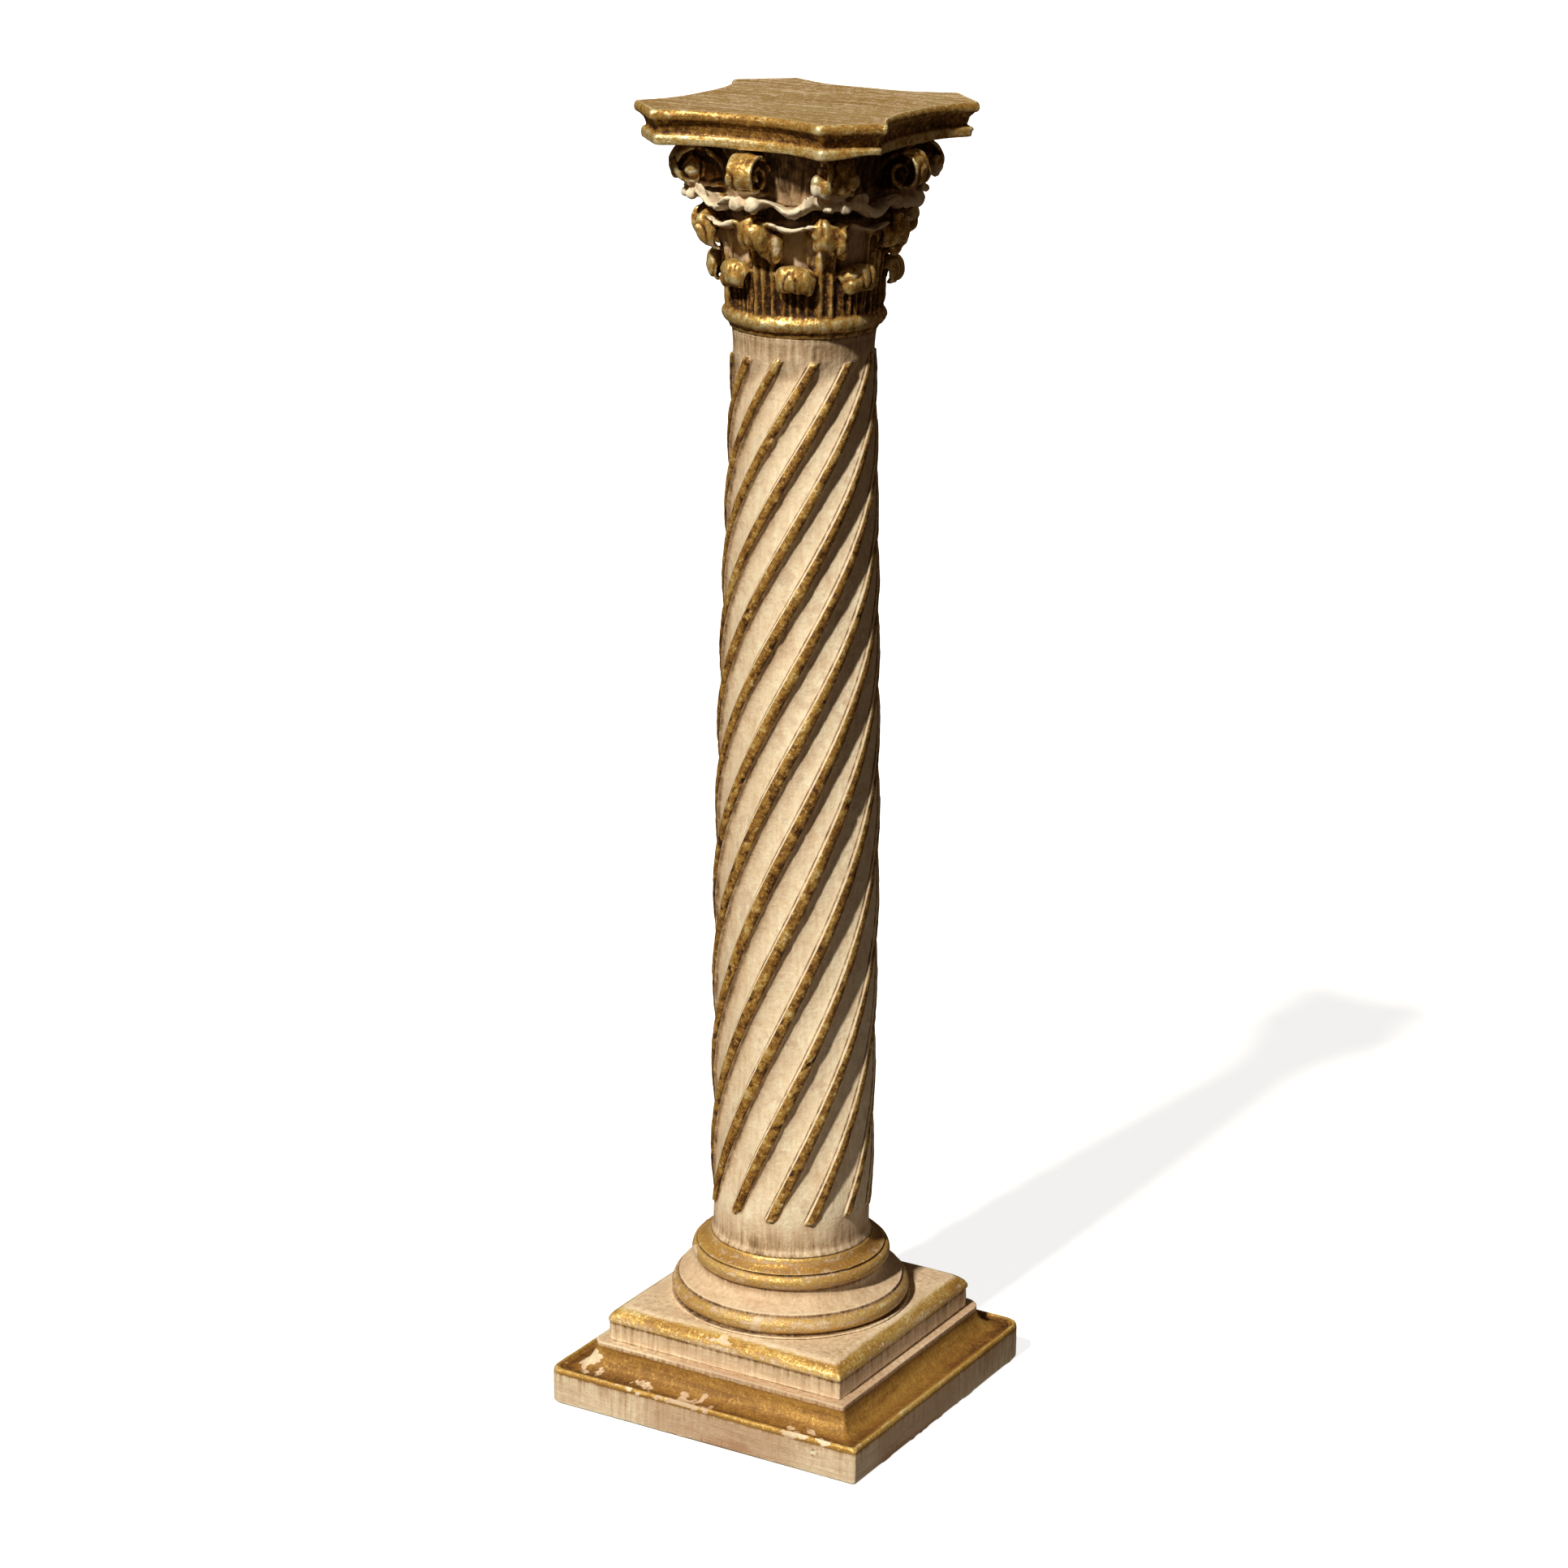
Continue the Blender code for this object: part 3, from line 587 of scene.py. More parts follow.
def board_line():
    """The board's profile from its flat top to its foot: fillet, cove, quirk, bead and face, as
    half-width, height, gilding and darkening. The cove is a quarter of an ellipse."""
    quirk = BOARD_HALF - BOARD_BEAD_IN - QUIRK_IN
    bead_top = BOARD_FACE + BOARD_BEAD
    cove_foot = bead_top - QUIRK_DEPTH
    cove_top = cove_foot + COVE_HEIGHT
    fillet = quirk - COVE_IN
    top = cove_top + BOARD_FILLET
    rows = [(fillet - 0.004, top, 0.1, 0.2), (fillet, top, 0.1, 0.0), (fillet, cove_top, 0.2, 0.55)]
    for t in np.radians(np.linspace(8.0, 90.0, 14)):
        deep = 0.4 * np.sin(t) ** 12
        rows.append((quirk - COVE_IN * np.cos(t), cove_top - COVE_HEIGHT * np.sin(t), 1.0, deep))
    for t in np.radians(np.linspace(150.0, 0.0, 9)):
        half = 0.5 * BOARD_BEAD_IN
        out, up = BOARD_HALF - half + half * np.cos(t), BOARD_FACE + BOARD_BEAD * np.sin(t)
        rows.append((out, up, 0.85, 0.0))
    face = [(BOARD_FACE - 0.0012, 0.3, 0.5), (BOARD_FACE - 0.003, 0.1, 0.15), (0.0012, 0.0, 0.0)]
    rows += [(BOARD_HALF, *marks) for marks in face]
    return rows + [(BOARD_HALF - 0.0012, 0.0, 0.0, 0.2)]


def block_line(foot):
    """The block's profile from its flat top to its foot: gilded edge, then the face."""
    face = foot + BLOCK_FACE
    edge = BLOCK_HALF + BLOCK_EDGE_OUT
    top = face + BLOCK_EDGE_HEIGHT
    inner = edge - BLOCK_EDGE_IN
    rows = [(inner - 0.02, top, 0.05, 0.1), (inner - 0.001, top, 0.15, 0.1)]
    for share, climb, gilt in BLOCK_EDGE:
        rows.append((edge - BLOCK_EDGE_IN * share, face + BLOCK_EDGE_HEIGHT * climb, gilt, 0.0))
    rows += [(BLOCK_HALF, face + 0.0004, 0.4, 0.85), (BLOCK_HALF, face - 0.0014, 0.05, 0.25)]
    return rows + [(BLOCK_HALF, foot + 0.002, 0.05, 0.1), (BLOCK_HALF, foot, 0.05, 0.6)]


# The turned base

STEP_R = 0.103
STEP_HEIGHT = 0.0016
TORUS_R = 0.102
TORUS_HEIGHT = 0.016
FILLET_R = 0.0962
FILLET_HEIGHT = 0.0022
SCOTIA_HEIGHT = 0.015
SCOTIA_R = 0.0795
UPPER_R = 0.085
UPPER_HEIGHT = 0.014
SLOPE_R = 0.0806
SLOPE_HEIGHT = 0.0102
FLARE_R = 0.069


def half_round(out, foot, tall, start, end, count):
    """A gilded half-round `tall` high on its foot, out to a radius, between angles."""
    half = 0.5 * tall
    turns = np.radians(np.linspace(start, end, count))
    return [(out - half + half * np.cos(t), foot + half + half * np.sin(t), 0.54, 0.0) for t in turns]


def base_line(foot):
    """The turned profile from the top down: slope, half-round, hollow, fillet, half-round, step.
    The hollow's radius grows with ((t - 0.22) / 0.78)^2.1 over its height t."""
    torus_foot = foot + STEP_HEIGHT
    torus_top = torus_foot + TORUS_HEIGHT
    fillet_top = torus_top + FILLET_HEIGHT
    scotia_top = fillet_top + SCOTIA_HEIGHT
    upper_top = scotia_top + UPPER_HEIGHT
    top = upper_top + SLOPE_HEIGHT
    rows = [(FLARE_R - 0.006, top, 0.3, 0.4), (FLARE_R + 0.0006, top, 0.6, 0.5)]
    for t in np.linspace(0.0, 1.0, 9):
        dip = -0.0013 * np.sin(np.pi * t)
        out = FLARE_R + 0.0012 + (SLOPE_R - FLARE_R - 0.001) * t
        rows.append((out + dip, top - 0.0006 - (SLOPE_HEIGHT - 0.001) * t + dip, 0.58, 0.0))
    rows.append((SLOPE_R - 0.0012, upper_top - 0.0008, 0.5, 0.95))
    rows += half_round(UPPER_R, scotia_top, UPPER_HEIGHT, 54.0, -70.0, 13)
    rows.append((rows[-1][0] - 0.001, scotia_top - 0.0004, 0.2, 0.8))
    spread = FILLET_R - 0.0016 - SCOTIA_R
    for t in np.linspace(0.0, 1.0, 14):
        out = SCOTIA_R + spread * max(0.0, (t - 0.22) / 0.78) ** 2.1
        shade = 0.45 * max(0.0, 1.0 - 5.0 * t)
        rows.append((out, scotia_top - 0.0008 - (SCOTIA_HEIGHT - 0.001) * t**0.92, 0.05, shade))
    rows += [(FILLET_R, fillet_top, 0.25, 0.0), (FILLET_R, torus_top + 0.0002, 0.3, 0.8)]
    rows += half_round(TORUS_R, torus_foot, TORUS_HEIGHT, 62.0, -66.0, 15)
    rows += [(STEP_R - 0.005, torus_foot + 0.0002, 0.1, 0.8), (STEP_R, torus_foot, 0.05, 0.1)]
    return rows + [(STEP_R, foot + 0.0003, 0.05, 0.2), (STEP_R - 0.001, foot, 0.0, 0.5)]


def turned_grid(line, columns):
    """Turn a profile about Z: point (i, j) is at the profile's radius i and the angle j."""
    angles = np.arange(columns) * 360.0 / columns
    return around(line[:, 0][:, None], angles[None, :], line[:, 1][:, None])


def turned_base(foot):
    """The base, with uneven hand-turned beads and worn arrises."""
    line = closed_profile(base_line(foot), 0.00085, 0.0006, 0.02, 0.02, 8, 10)
    grid = turned_grid(line, 500)
    worn = wear_down(grid, 21, 0.00034, 0.03, 0.0009, 0.012)
    worn[..., 2] = np.clip(worn[..., 2], foot, grid[..., 2].max())
    mesh = mesh_of("turned_base_look", [skin(worn)])
    keep_rows(mesh, line, ramp(noise(worn, 0.03, 3, 64), 0.7, 0.8))
    mark_edges_and_hollows(mesh, 4, 0.0004, 26, 0.0016)
    return mesh


# The shaft

RIDGES = 12
FOOT_R = 0.0666
NECK_R = 0.0571
NECK_TOP_R = 0.0584
RIDGE_FOOT_R = 0.0698
RIDGE_HEAD_R = 0.0592
TAPER_START = 0.36
FOOT_HEIGHT = 0.0285
NECK_HEIGHT = 0.018
FLUTE_DEPTH = 0.0068
FLUTE_STEEP = 0.84
FLUTE_SKEW = 0.66
FLUTE_END = (1.0 - FLUTE_STEEP**2) ** 0.5
RIDGE_STEP = 0.0024
RIDGE_HALF = 4.6
TWIST_RATE = 386.7
TWIST_GROWTH = 220.4
TWIST_BEND = 0.33
TWIST_PHASE = -28.0
SHAFT_ROWS = 262
RIDGE_COLUMNS = 30
CRACK_ANGLE = 42.3
CRACK_HEIGHT = 0.318


def twist(height):
    """Degrees turned at a height h: phase + rate h + growth (h - bend)^2 above the bend."""
    above = np.maximum(height - TWIST_BEND, 0.0)
    return TWIST_PHASE + TWIST_RATE * height + TWIST_GROWTH * above * above


def crack_depth(angle, height):
    """A short ragged crack across one ridge, 1 in its middle line."""
    turn = (angle - CRACK_ANGLE + 180.0) % 360.0 - 180.0
    bend = 0.0009 * np.sin(0.9 * turn) + CRACK_HEIGHT + 0.00022 * turn
    return swell(height - bend, 0.0011) * ramp(4.2 - np.abs(turn), 0.0, 1.6)


def ridge_wax_and_shade(side, crack, whole):
    """Brown wax in the groove at a ridge's left edge and in the crack, and painted shade along its
    right foot.
    """
    left = 1.1 * swell(side + 1.03, 0.09) * ramp(whole, 0.2, 1.0)
    # Painted shade along the right foot, where the ridge shades its flute.
    right = 0.6 * swell(side - 1.12, 0.26) * ramp(whole, 0.0, 0.6)
    return np.clip(0.9 * left + right + crack, 0.0, 1.2)


def close_ends(grid):
    """Three rows that draw in to the axis before the first row and after the last one."""
    shares = (0.25, 0.55, 0.85)
    first = [grid[0] * (s, s, 1.0) for s in shares]
    last = [grid[-1] * (s, s, 1.0) for s in shares[::-1]]
    return np.concatenate([first, grid, last])


def shaft_places(length):
    """Each point's angle from its ridge's middle, its ridge's number and its height, closer at the
    ends and on the ridges."""
    rows = np.interp(
        np.linspace(0.0, 1.0, SHAFT_ROWS),
        [0.0, 0.06, 0.2, 0.82, 0.96, 1.0],
        [0.0, FOOT_HEIGHT - 0.008, FOOT_HEIGHT + 0.06, length - 0.085, length - 0.01, length],
    )
    half = RIDGE_COLUMNS // 2
    right = np.interp(np.arange(half), [0.0, 0.22 * half, 0.76 * half, half], [0.0, 3.2, 6.6, 15.0])
    local = np.concatenate([[-15.0], -right[:0:-1], right])
    t = np.tile(local, RIDGES)[None, :] + 0.0 * rows[:, None]
    ridge = np.repeat(np.arange(RIDGES), RIDGE_COLUMNS)[None, :] + 0.0 * rows[:, None]
    return t, ridge, rows[:, None] + 0.0 * t


def shaft(foot, top):
    """The twisted shaft. With x the angle from a ridge's middle over its half-width, the ridge
    stands as 1 - 0.66 x^2 over its flute, the flute is an arc of an ellipse, deeper to one side,
    and both fade into the plain foot and neck. A groove runs along each left edge."""
    length = top - foot
    t, ridge, h = shaft_places(length)
    head = length - NECK_HEIGHT
    climb = ((h - FOOT_HEIGHT) / (head - FOOT_HEIGHT) - TAPER_START) / (1.0 - TAPER_START)
    crest = RIDGE_FOOT_R + (RIDGE_HEAD_R - RIDGE_FOOT_R) * np.clip(climb, 0.0, 1.0) ** 1.45
    mix = ramp(h, 0.3 * length, 0.95 * length)
    flare = np.clip(1.0 - h / 0.01, 0.0, 1.0) ** 2
    plain = FOOT_R + (NECK_R - FOOT_R) * mix + (FLARE_R - FOOT_R) * flare
    plain += (NECK_TOP_R - NECK_R) * np.clip((h - head) / NECK_HEIGHT, 0.0, 1.0) ** 2

    place = np.stack([ridge * 7.1, h / 0.11, 0.0 * h], -1)
    wander = 0.55 * soft_noise(place, SEED + 3)
    width = RIDGE_HALF * (1.0 + 0.1 * soft_noise(place + 31.0, SEED + 5))
    of_ridge = ridge[..., None] * (1.0, 0.0, 0.0)
    low_tip = FOOT_HEIGHT + 0.0035 * soft_noise(of_ridge * 3.3, SEED + 8)
    high_tip = head + 0.003 * soft_noise(of_ridge * 4.7, SEED + 9)
    whole = np.clip(np.minimum(h - low_tip, high_tip - h) / 0.005, 0.0, 1.0)
    slim = np.sqrt(np.clip(1.0 - (1.0 - whole) ** 2, 0.0, 1.0))
    x = np.abs(t - wander) / (width * np.maximum(slim, 0.05))
    body = (1.0 - 0.66 * np.minimum(x, 1.0) ** 2) * (1.0 - ramp(x, 0.95, 1.14))
    body *= ramp(slim, 0.05, 0.55)

    opened = ramp(h, FOOT_HEIGHT - 0.006, FOOT_HEIGHT + 0.05) * ramp(high_tip - h, -0.002, 0.02)
    reach = 15.0 - 1.08 * width
    across = np.clip(((t - wander) % 30.0 - 15.0) / reach, -1.0, 1.0)
    gap = 2.0 * (0.5 + 0.5 * across) ** FLUTE_SKEW - 1.0
    arc = (np.sqrt(1.0 - (FLUTE_STEEP * gap) ** 2) - FLUTE_END) / (1.0 - FLUTE_END)
    scoop = RIDGE_STEP + (FLUTE_DEPTH - RIDGE_STEP) * arc
    base = plain + (crest - scoop - plain) * opened
    radius = base + np.maximum(crest - base, 0.0) * body
    side = (t - wander) / width
    radius -= 0.0006 * (swell(side + 1.02, 0.09) * ramp(whole, 0.5, 1.0))

    angle = t + 30.0 * ridge + twist(h)
    grid = around(radius, angle, foot + h)
    out = grid_outward(grid)
    gold = ramp(body, 0.02, 0.3) * (1.0 - 0.7 * ramp(-side, 0.58, 0.74))
    lumps = 0.00022 * noise(grid, 0.03, 2, 61) + gold * 0.00042 * noise(grid, 0.0075, 3, 67)
    chips = gold * 0.0011 * ramp(noise(grid, 0.013, 3, 71), 0.62, 0.95)
    crack = crack_depth(angle, foot + h)
    move = lumps - chips - 0.0016 * crack
    move *= ramp(h, 0.0, 0.004) * ramp(length - h, 0.0, 0.004)
    grid = grid + out * move[..., None]
    grid[..., 2] = np.clip(grid[..., 2], foot, foot + length)
    mesh = mesh_of("shaft_look", [skin(close_ends(grid))])

    lead = np.zeros((3, grid.shape[1]))
    ends = 1.0 - ramp(h, 0.0, FOOT_HEIGHT + 0.012) * ramp(length - h, 0.0, NECK_HEIGHT + 0.03)
    seam = ramp(0.004 - np.minimum(h, length - h), 0.0, 0.004)
    stain = ridge_wax_and_shade(side, crack, whole) + 0.6 * ends * (1.0 - gold) + 0.4 * seam
    for name, values in (("gilt", gold), ("stain", stain)):
        keep_number(mesh, name, np.concatenate([lead, values, lead]), (0.0, 0.0))
    mark_edges_and_hollows(mesh, 3, 0.00045, 24, 0.0016)
    return mesh


# The capital

RING_R = 0.0663
RING_HEIGHT = 0.0185
RING_TALL = 0.0138
BELL_FOOT_R = 0.0584
BELL_WAIST_R = 0.062
BELL_TOP_R = 0.075
LOWER_LEAF_TOP = 0.0615
LOWER_LEAF_R = 0.0805
UPPER_LEAF_TOP = 0.1005
UPPER_LEAF_R = 0.0935
LEDGE_HEIGHT = 0.1108
LEDGE_R = 0.096
LEDGE_WAVE = 0.0045
SCROLL_R = 0.0184
SCROLL_WIDTH = 0.0235
SIDE_REACH = 0.1105
CORNER_REACH = 0.114
VOXEL = 0.0012
CAPITAL_TRIANGLES = 192000
RIB_LEAF = (3, 0.0012, 6, 0.0036)
CLEFT_LEAF = (2, 0.006, 4, 0.004)
BEAK_LEAF = (1, 0.0062, 5, 0.004)
KNOB_TURN = 4.2
KNOB_R = 0.007
LOWER_LEDGE = 0.0925
LOWER_LEDGE_R = 0.088
LEAF_HALF = 0.018
LEAF_ROWS = 56
LEAF_FRONT = 35
LEDGE_CORE = 0.0018
LEDGE_TURN_UP = 0.0035
WEB_HALF = 0.0064
DISC_HALF = 0.0062
EYE_R = 0.0074
# A leaf's path: shares of its reach and height, of its width and thickness, and of the head
LEAF_LINE = (
    (0.12, -0.02, 0.78, 0.70, 0.0), (0.15, 0.18, 0.78, 0.72, 0.0), (0.18, 0.38, 0.80, 0.74, 0.0),
    (0.24, 0.58, 0.84, 0.78, 0.1), (0.38, 0.80, 0.94, 0.88, 0.6), (0.55, 0.95, 1.00, 1.00, 1.0),
    (0.82, 1.00, 1.00, 1.10, 1.0),
)


def curve_through(points, count):
    """A smooth line: a Hermite cubic between each two points, with the slopes taken from the points
    on either side."""
    points = np.array(points, float)
    slopes = np.gradient(points, axis=0)
    at = np.linspace(0.0, len(points) - 1.0, count)
    i = np.minimum(at.astype(int), len(points) - 2)
    t = (at - i)[:, None]
    a, b, c, d = points[i], points[i + 1], slopes[i], slopes[i + 1]
    return (
        a * (2 * t**3 - 3 * t**2 + 1) + b * (3 * t**2 - 2 * t**3)
        + c * (t**3 - 2 * t**2 + t) + d * (t**3 - t**2)
    )


def leaf_shell(path, thick, middle, lean, carving, seed):
    """A carved leaf along a path of radius, height and shares of the width, the thickness and the
    head. `carving` is n lobes, the depth of their notches, m ribs and the depth of their grooves.
    Across it, x from -1 to 1, the lobes stand as 0.55 |sin w|^0.6 + 0.45 (1 - |cos w|), w = pi n (x
    + 1) / 2, the ribs as (1 + cos(pi (m - 1) (x + 1))) / 2. The head's sides hang by 5 x^2 mm and
    stand back by 3 x^2 mm."""
    lobes, notch, ribs, groove = carving
    line = curve_through(path, LEAF_ROWS)
    radius, height, wide, fat, head = (column[:, None] for column in line.T)
    way = np.gradient(line[:, :2], axis=0)
    way /= np.maximum(np.hypot(way[:, 0], way[:, 1]), 1e-9)[:, None]
    x = np.sin(np.linspace(-0.5 * np.pi, 0.5 * np.pi, LEAF_FRONT))
    side = np.concatenate([x, x[::-1][1:-1]])
    front = np.arange(len(side)) < LEAF_FRONT
    wave = 0.5 * np.pi * lobes * (side + 1.0)
    lobed = 0.55 * np.abs(np.sin(wave)) ** 0.6 + 0.45 * (1.0 - np.abs(np.cos(wave)))
    ribbed = 0.5 + 0.5 * np.cos(np.pi * (ribs - 1) * (side + 1.0))
    half_thick = 0.5 * thick * fat
    lift = np.where(front, 1.0 - 0.7 * side**4, -1.0 + 0.9 * side**4) * half_thick
    lift = lift - front * groove * (1.0 - 0.62 * head) * (1.0 - ribbed)
    sink = notch * head * (1.0 - lobed)
    uneven = 1.0 + 0.1 * np.sin(seed * 2.4 + side)
    nod = ramp(np.arange(LEAF_ROWS), 20, 44)[:, None]
    drop = (lean * side + 0.005 * side**2) * nod
    turn = middle + np.degrees(side * LEAF_HALF * wide * uneven / radius)
    r = radius + way[:, 1:2] * lift - 0.9 * sink - 0.003 * side**2 * nod
    z = height - way[:, 0:1] * lift - drop - 0.8 * sink
    return skin(around(r, turn, z))


def leaf_path(foot, rise, reach, thick, roll):
    """Up the bell, out and over into a rolled head, whose underside hangs at the share `roll` of
    the height."""
    far = reach - 0.5 * thick
    top = rise - 0.5 * thick
    head = (
        (1.0, 0.5 * (1.0 + roll) + 0.03, 0.94, 1.05, 1.0),
        (0.95, roll, 0.82, 0.95, 1.0),
        (0.74, roll - 0.03, 0.6, 0.8, 1.0),
    )
    span = far - BELL_FOOT_R
    return [(BELL_FOOT_R + span * out, foot + top * up, *rest) for out, up, *rest in LEAF_LINE + head]


def from_scroll(turn):
    """Degrees from the nearest of the eight scrolls."""
    return np.abs((turn + 22.5) % 45.0 - 22.5)


def ledge_rise(local, wave):
    """How far the ledge's edge stands over its level: 0.75 cos 8a - 0.55 cos 16a of its wave,
    calmer at the knobs."""
    slow, fast = np.cos(np.radians(8.0 * local)), np.cos(np.radians(16.0 * local))
    return wave * (0.75 * slow - 0.55 * fast) * (1.0 - 0.6 * swell(local - KNOB_TURN, 3.0))


def ledge_shell(level, reach, wave, fat, seed):
    """A wavy ledge: a closed lip swept round the bell. Its share of the reach is (1 - cos t) / 2;
    it grows thicker outwards, its top is hollow and its edge turns up."""
    turns = np.arange(720) * 0.5
    spots = around(0.09, turns, 0.0)
    middle = ledge_rise(from_scroll(turns), wave) + 0.0012 * noise(spots, 0.02, 2, seed)
    fat = fat * (1.0 + 0.35 * noise(spots, 0.022, 2, seed + 2))[:, None]
    edge = reach + 0.002 * noise(spots, 0.016, 2, seed + 1)
    t = closed_turn(18)[None, :]
    along, up = 0.5 - 0.5 * np.cos(t), np.sin(t)
    root = BELL_WAIST_R - 0.006
    r = root + (edge[:, None] - root) * along * np.where(up < 0.0, 1.0 + 0.14 * up, 1.0)
    rise = (middle[:, None] + LEDGE_TURN_UP) * along - LEDGE_TURN_UP
    cup = -0.0022 * ramp(up, -0.2, 0.2) * np.sin(np.pi * along) ** 2
    half = LEDGE_CORE + (fat - LEDGE_CORE) * along
    z = level + rise + cup + half * np.where(up < 0.0, 1.25, 0.75) * rounded(up, 0.7)
    return skin(around(r, turns[:, None], z), endless=True)


def tip_shell(turn, level, reach):
    """A small upright leaf on the ledge, 8.5 (1 - 0.45 v^3) mm to either side at the share v of its
    height, with round shoulders and a notch in its top."""
    v = np.linspace(0.0, 1.0, 16)[:, None]
    t = closed_turn(18)[None, :]
    across = rounded(np.cos(t), 0.7)
    half = 0.0085 * (1.0 - 0.45 * v**3)
    notch = 0.004 * swell(across, 0.24) * v**2
    r = reach - 0.004 + 0.003 * v + 0.0026 * np.sin(t) * (1.0 - 0.5 * v)
    z = level - 0.002 + 0.0098 * v * (1.0 - 0.35 * across**2) - notch + 0.0 * t
    return skin(around(r, turn + np.degrees(half * across / reach), z))


def ball_shell(centre, radius, tall=1.0):
    """A ball: centre + radius (sin a cos b, sin a sin b, tall cos a)."""
    a = np.linspace(0.12, np.pi - 0.12, 10)[:, None]
    b = closed_turn(14)[None, :]
    ball = np.stack([np.sin(a) * np.cos(b), np.sin(a) * np.sin(b), np.cos(a) + 0.0 * b], -1)
    return skin(np.array(centre) + radius * np.array((1.0, 1.0, tall)) * ball)


def scroll_shells(reach, top, turn, ball):
    """A scroll: a stem up the bell and a band rolled up as a spiral, its radius falling evenly with
    the turn, over a disc and a web back to the bell. `ball` adds two eyes."""
    mid_r, mid_z = reach - SCROLL_R, top - SCROLL_R
    turns = np.linspace(0.0, 1.42, 46)
    radius = SCROLL_R - 0.0032 - 0.0088 * turns
    angle = np.radians(90.0) - 2.0 * np.pi * turns
    spiral = np.stack([mid_r + radius * np.cos(angle), mid_z + radius * np.sin(angle)], -1)
    bend = 0.5 * (BELL_WAIST_R + mid_r) - 0.004
    stem = [(BELL_WAIST_R - 0.003, top - 0.056), (BELL_WAIST_R + 0.001, top - 0.036)]
    stem += [(bend - 0.004, top - 0.018), (bend + 0.01, top - 0.0058)]
    stem = curve_through(stem + [tuple(spiral[0])], 18)[:-1]
    line = np.concatenate([stem, spiral])
    way = np.gradient(line, axis=0)
    way /= np.hypot(way[:, 0], way[:, 1])[:, None]
    share = np.linspace(0.0, 1.0, len(line))
    thick = (0.0034 - 0.0008 * ramp(share, 0.4, 1.0))[:, None]
    wide = 0.5 * SCROLL_WIDTH * (0.86 + 0.14 * ramp(share, 0.05, 0.35))
    t = closed_turn(28)
    across = rounded(np.cos(t), 0.45)
    lift = rounded(np.sin(t), 0.6) * (0.55 + 0.45 * across**4 + 0.22 * swell(across, 0.25))
    a = np.radians(turn)

    def stand(r, y, z):
        """Points at the distances r out and y across, on the scroll's side of the column."""
        flat = [r * np.sin(a) + y * np.cos(a), -r * np.cos(a) + y * np.sin(a)]
        return np.stack([*flat, z + 0.0 * y], -1)

    r = line[:, 0:1] - way[:, 1:2] * thick * lift
    z = line[:, 1:2] + way[:, 0:1] * thick * lift
    shells = [skin(stand(r, wide[:, None] * across[None, :], z))]
    b = closed_turn(30)[None, :]
    y = np.array([-DISC_HALF, 0.0004 - DISC_HALF, DISC_HALF - 0.0004, DISC_HALF])[:, None]
    size = np.array([0.0128, 0.0138, 0.0138, 0.0128])[:, None]
    shells.append(skin(stand(mid_r + size * np.cos(b), y, mid_z + size * np.sin(b))))
    y = np.array([-WEB_HALF, 0.0004 - WEB_HALF, WEB_HALF - 0.0004, WEB_HALF])[:, None] + 0.0 * b
    inner, outer = BELL_WAIST_R - 0.004, mid_r + 0.004
    web_r = inner + (outer - inner) * (0.5 + 0.5 * rounded(np.cos(b), 0.3))
    web_z = top - 0.0195 + 0.0165 * rounded(np.sin(b), 0.3)
    shells.append(skin(stand(web_r + 0.0 * y, y, web_z)))
    for y in (-0.01, 0.01) if ball else ():
        shells.append(ball_shell(stand(*np.array([mid_r + 0.001, y, mid_z - 0.001])), EYE_R))
    return shells


def bell_line(foot, top):
    """The turned core from the top down: flared bell, waist and the ring at its foot."""
    rows = [(0.02, top), (BELL_TOP_R, top), (BELL_TOP_R - 0.004, top - 0.014)]
    rows += [(0.0675, top - 0.036), (BELL_WAIST_R, foot + 0.0756)]
    rows += [(BELL_FOOT_R + 0.0012, foot + 0.042), (BELL_FOOT_R, foot + RING_HEIGHT + 0.002)]
    half = 0.5 * RING_TALL
    inner = RING_R - half
    for t in np.radians(np.linspace(70.0, -80.0, 16)):
        rows.append((inner + half * np.cos(t), foot + RING_HEIGHT - half + half * np.sin(t)))
    rows += [(0.0608, foot + 0.0034), (0.0596, foot), (0.02, foot)]
    return np.array(rows)


def modified(mesh, name, kind, settings):
    """The mesh that one modifier makes of a mesh, under a new name."""
    block = add_item(name, mesh)
    change = block.modifiers.new(name, kind)
    for key, value in settings.items():
        setattr(change, key, value)
    graph = bpy.context.evaluated_depsgraph_get()
    made = bpy.data.meshes.new_from_object(block.evaluated_get(graph))
    made.name = name
    bpy.data.objects.remove(block, do_unlink=True)
    return made


def thinned(mesh, name, triangles):
    """The mesh with its flattest edges drawn together until about `triangles` are left."""
    count = sum(len(face.vertices) - 2 for face in mesh.polygons)
    return modified(mesh, name, "DECIMATE", {"ratio": min(1.0, triangles / count)})


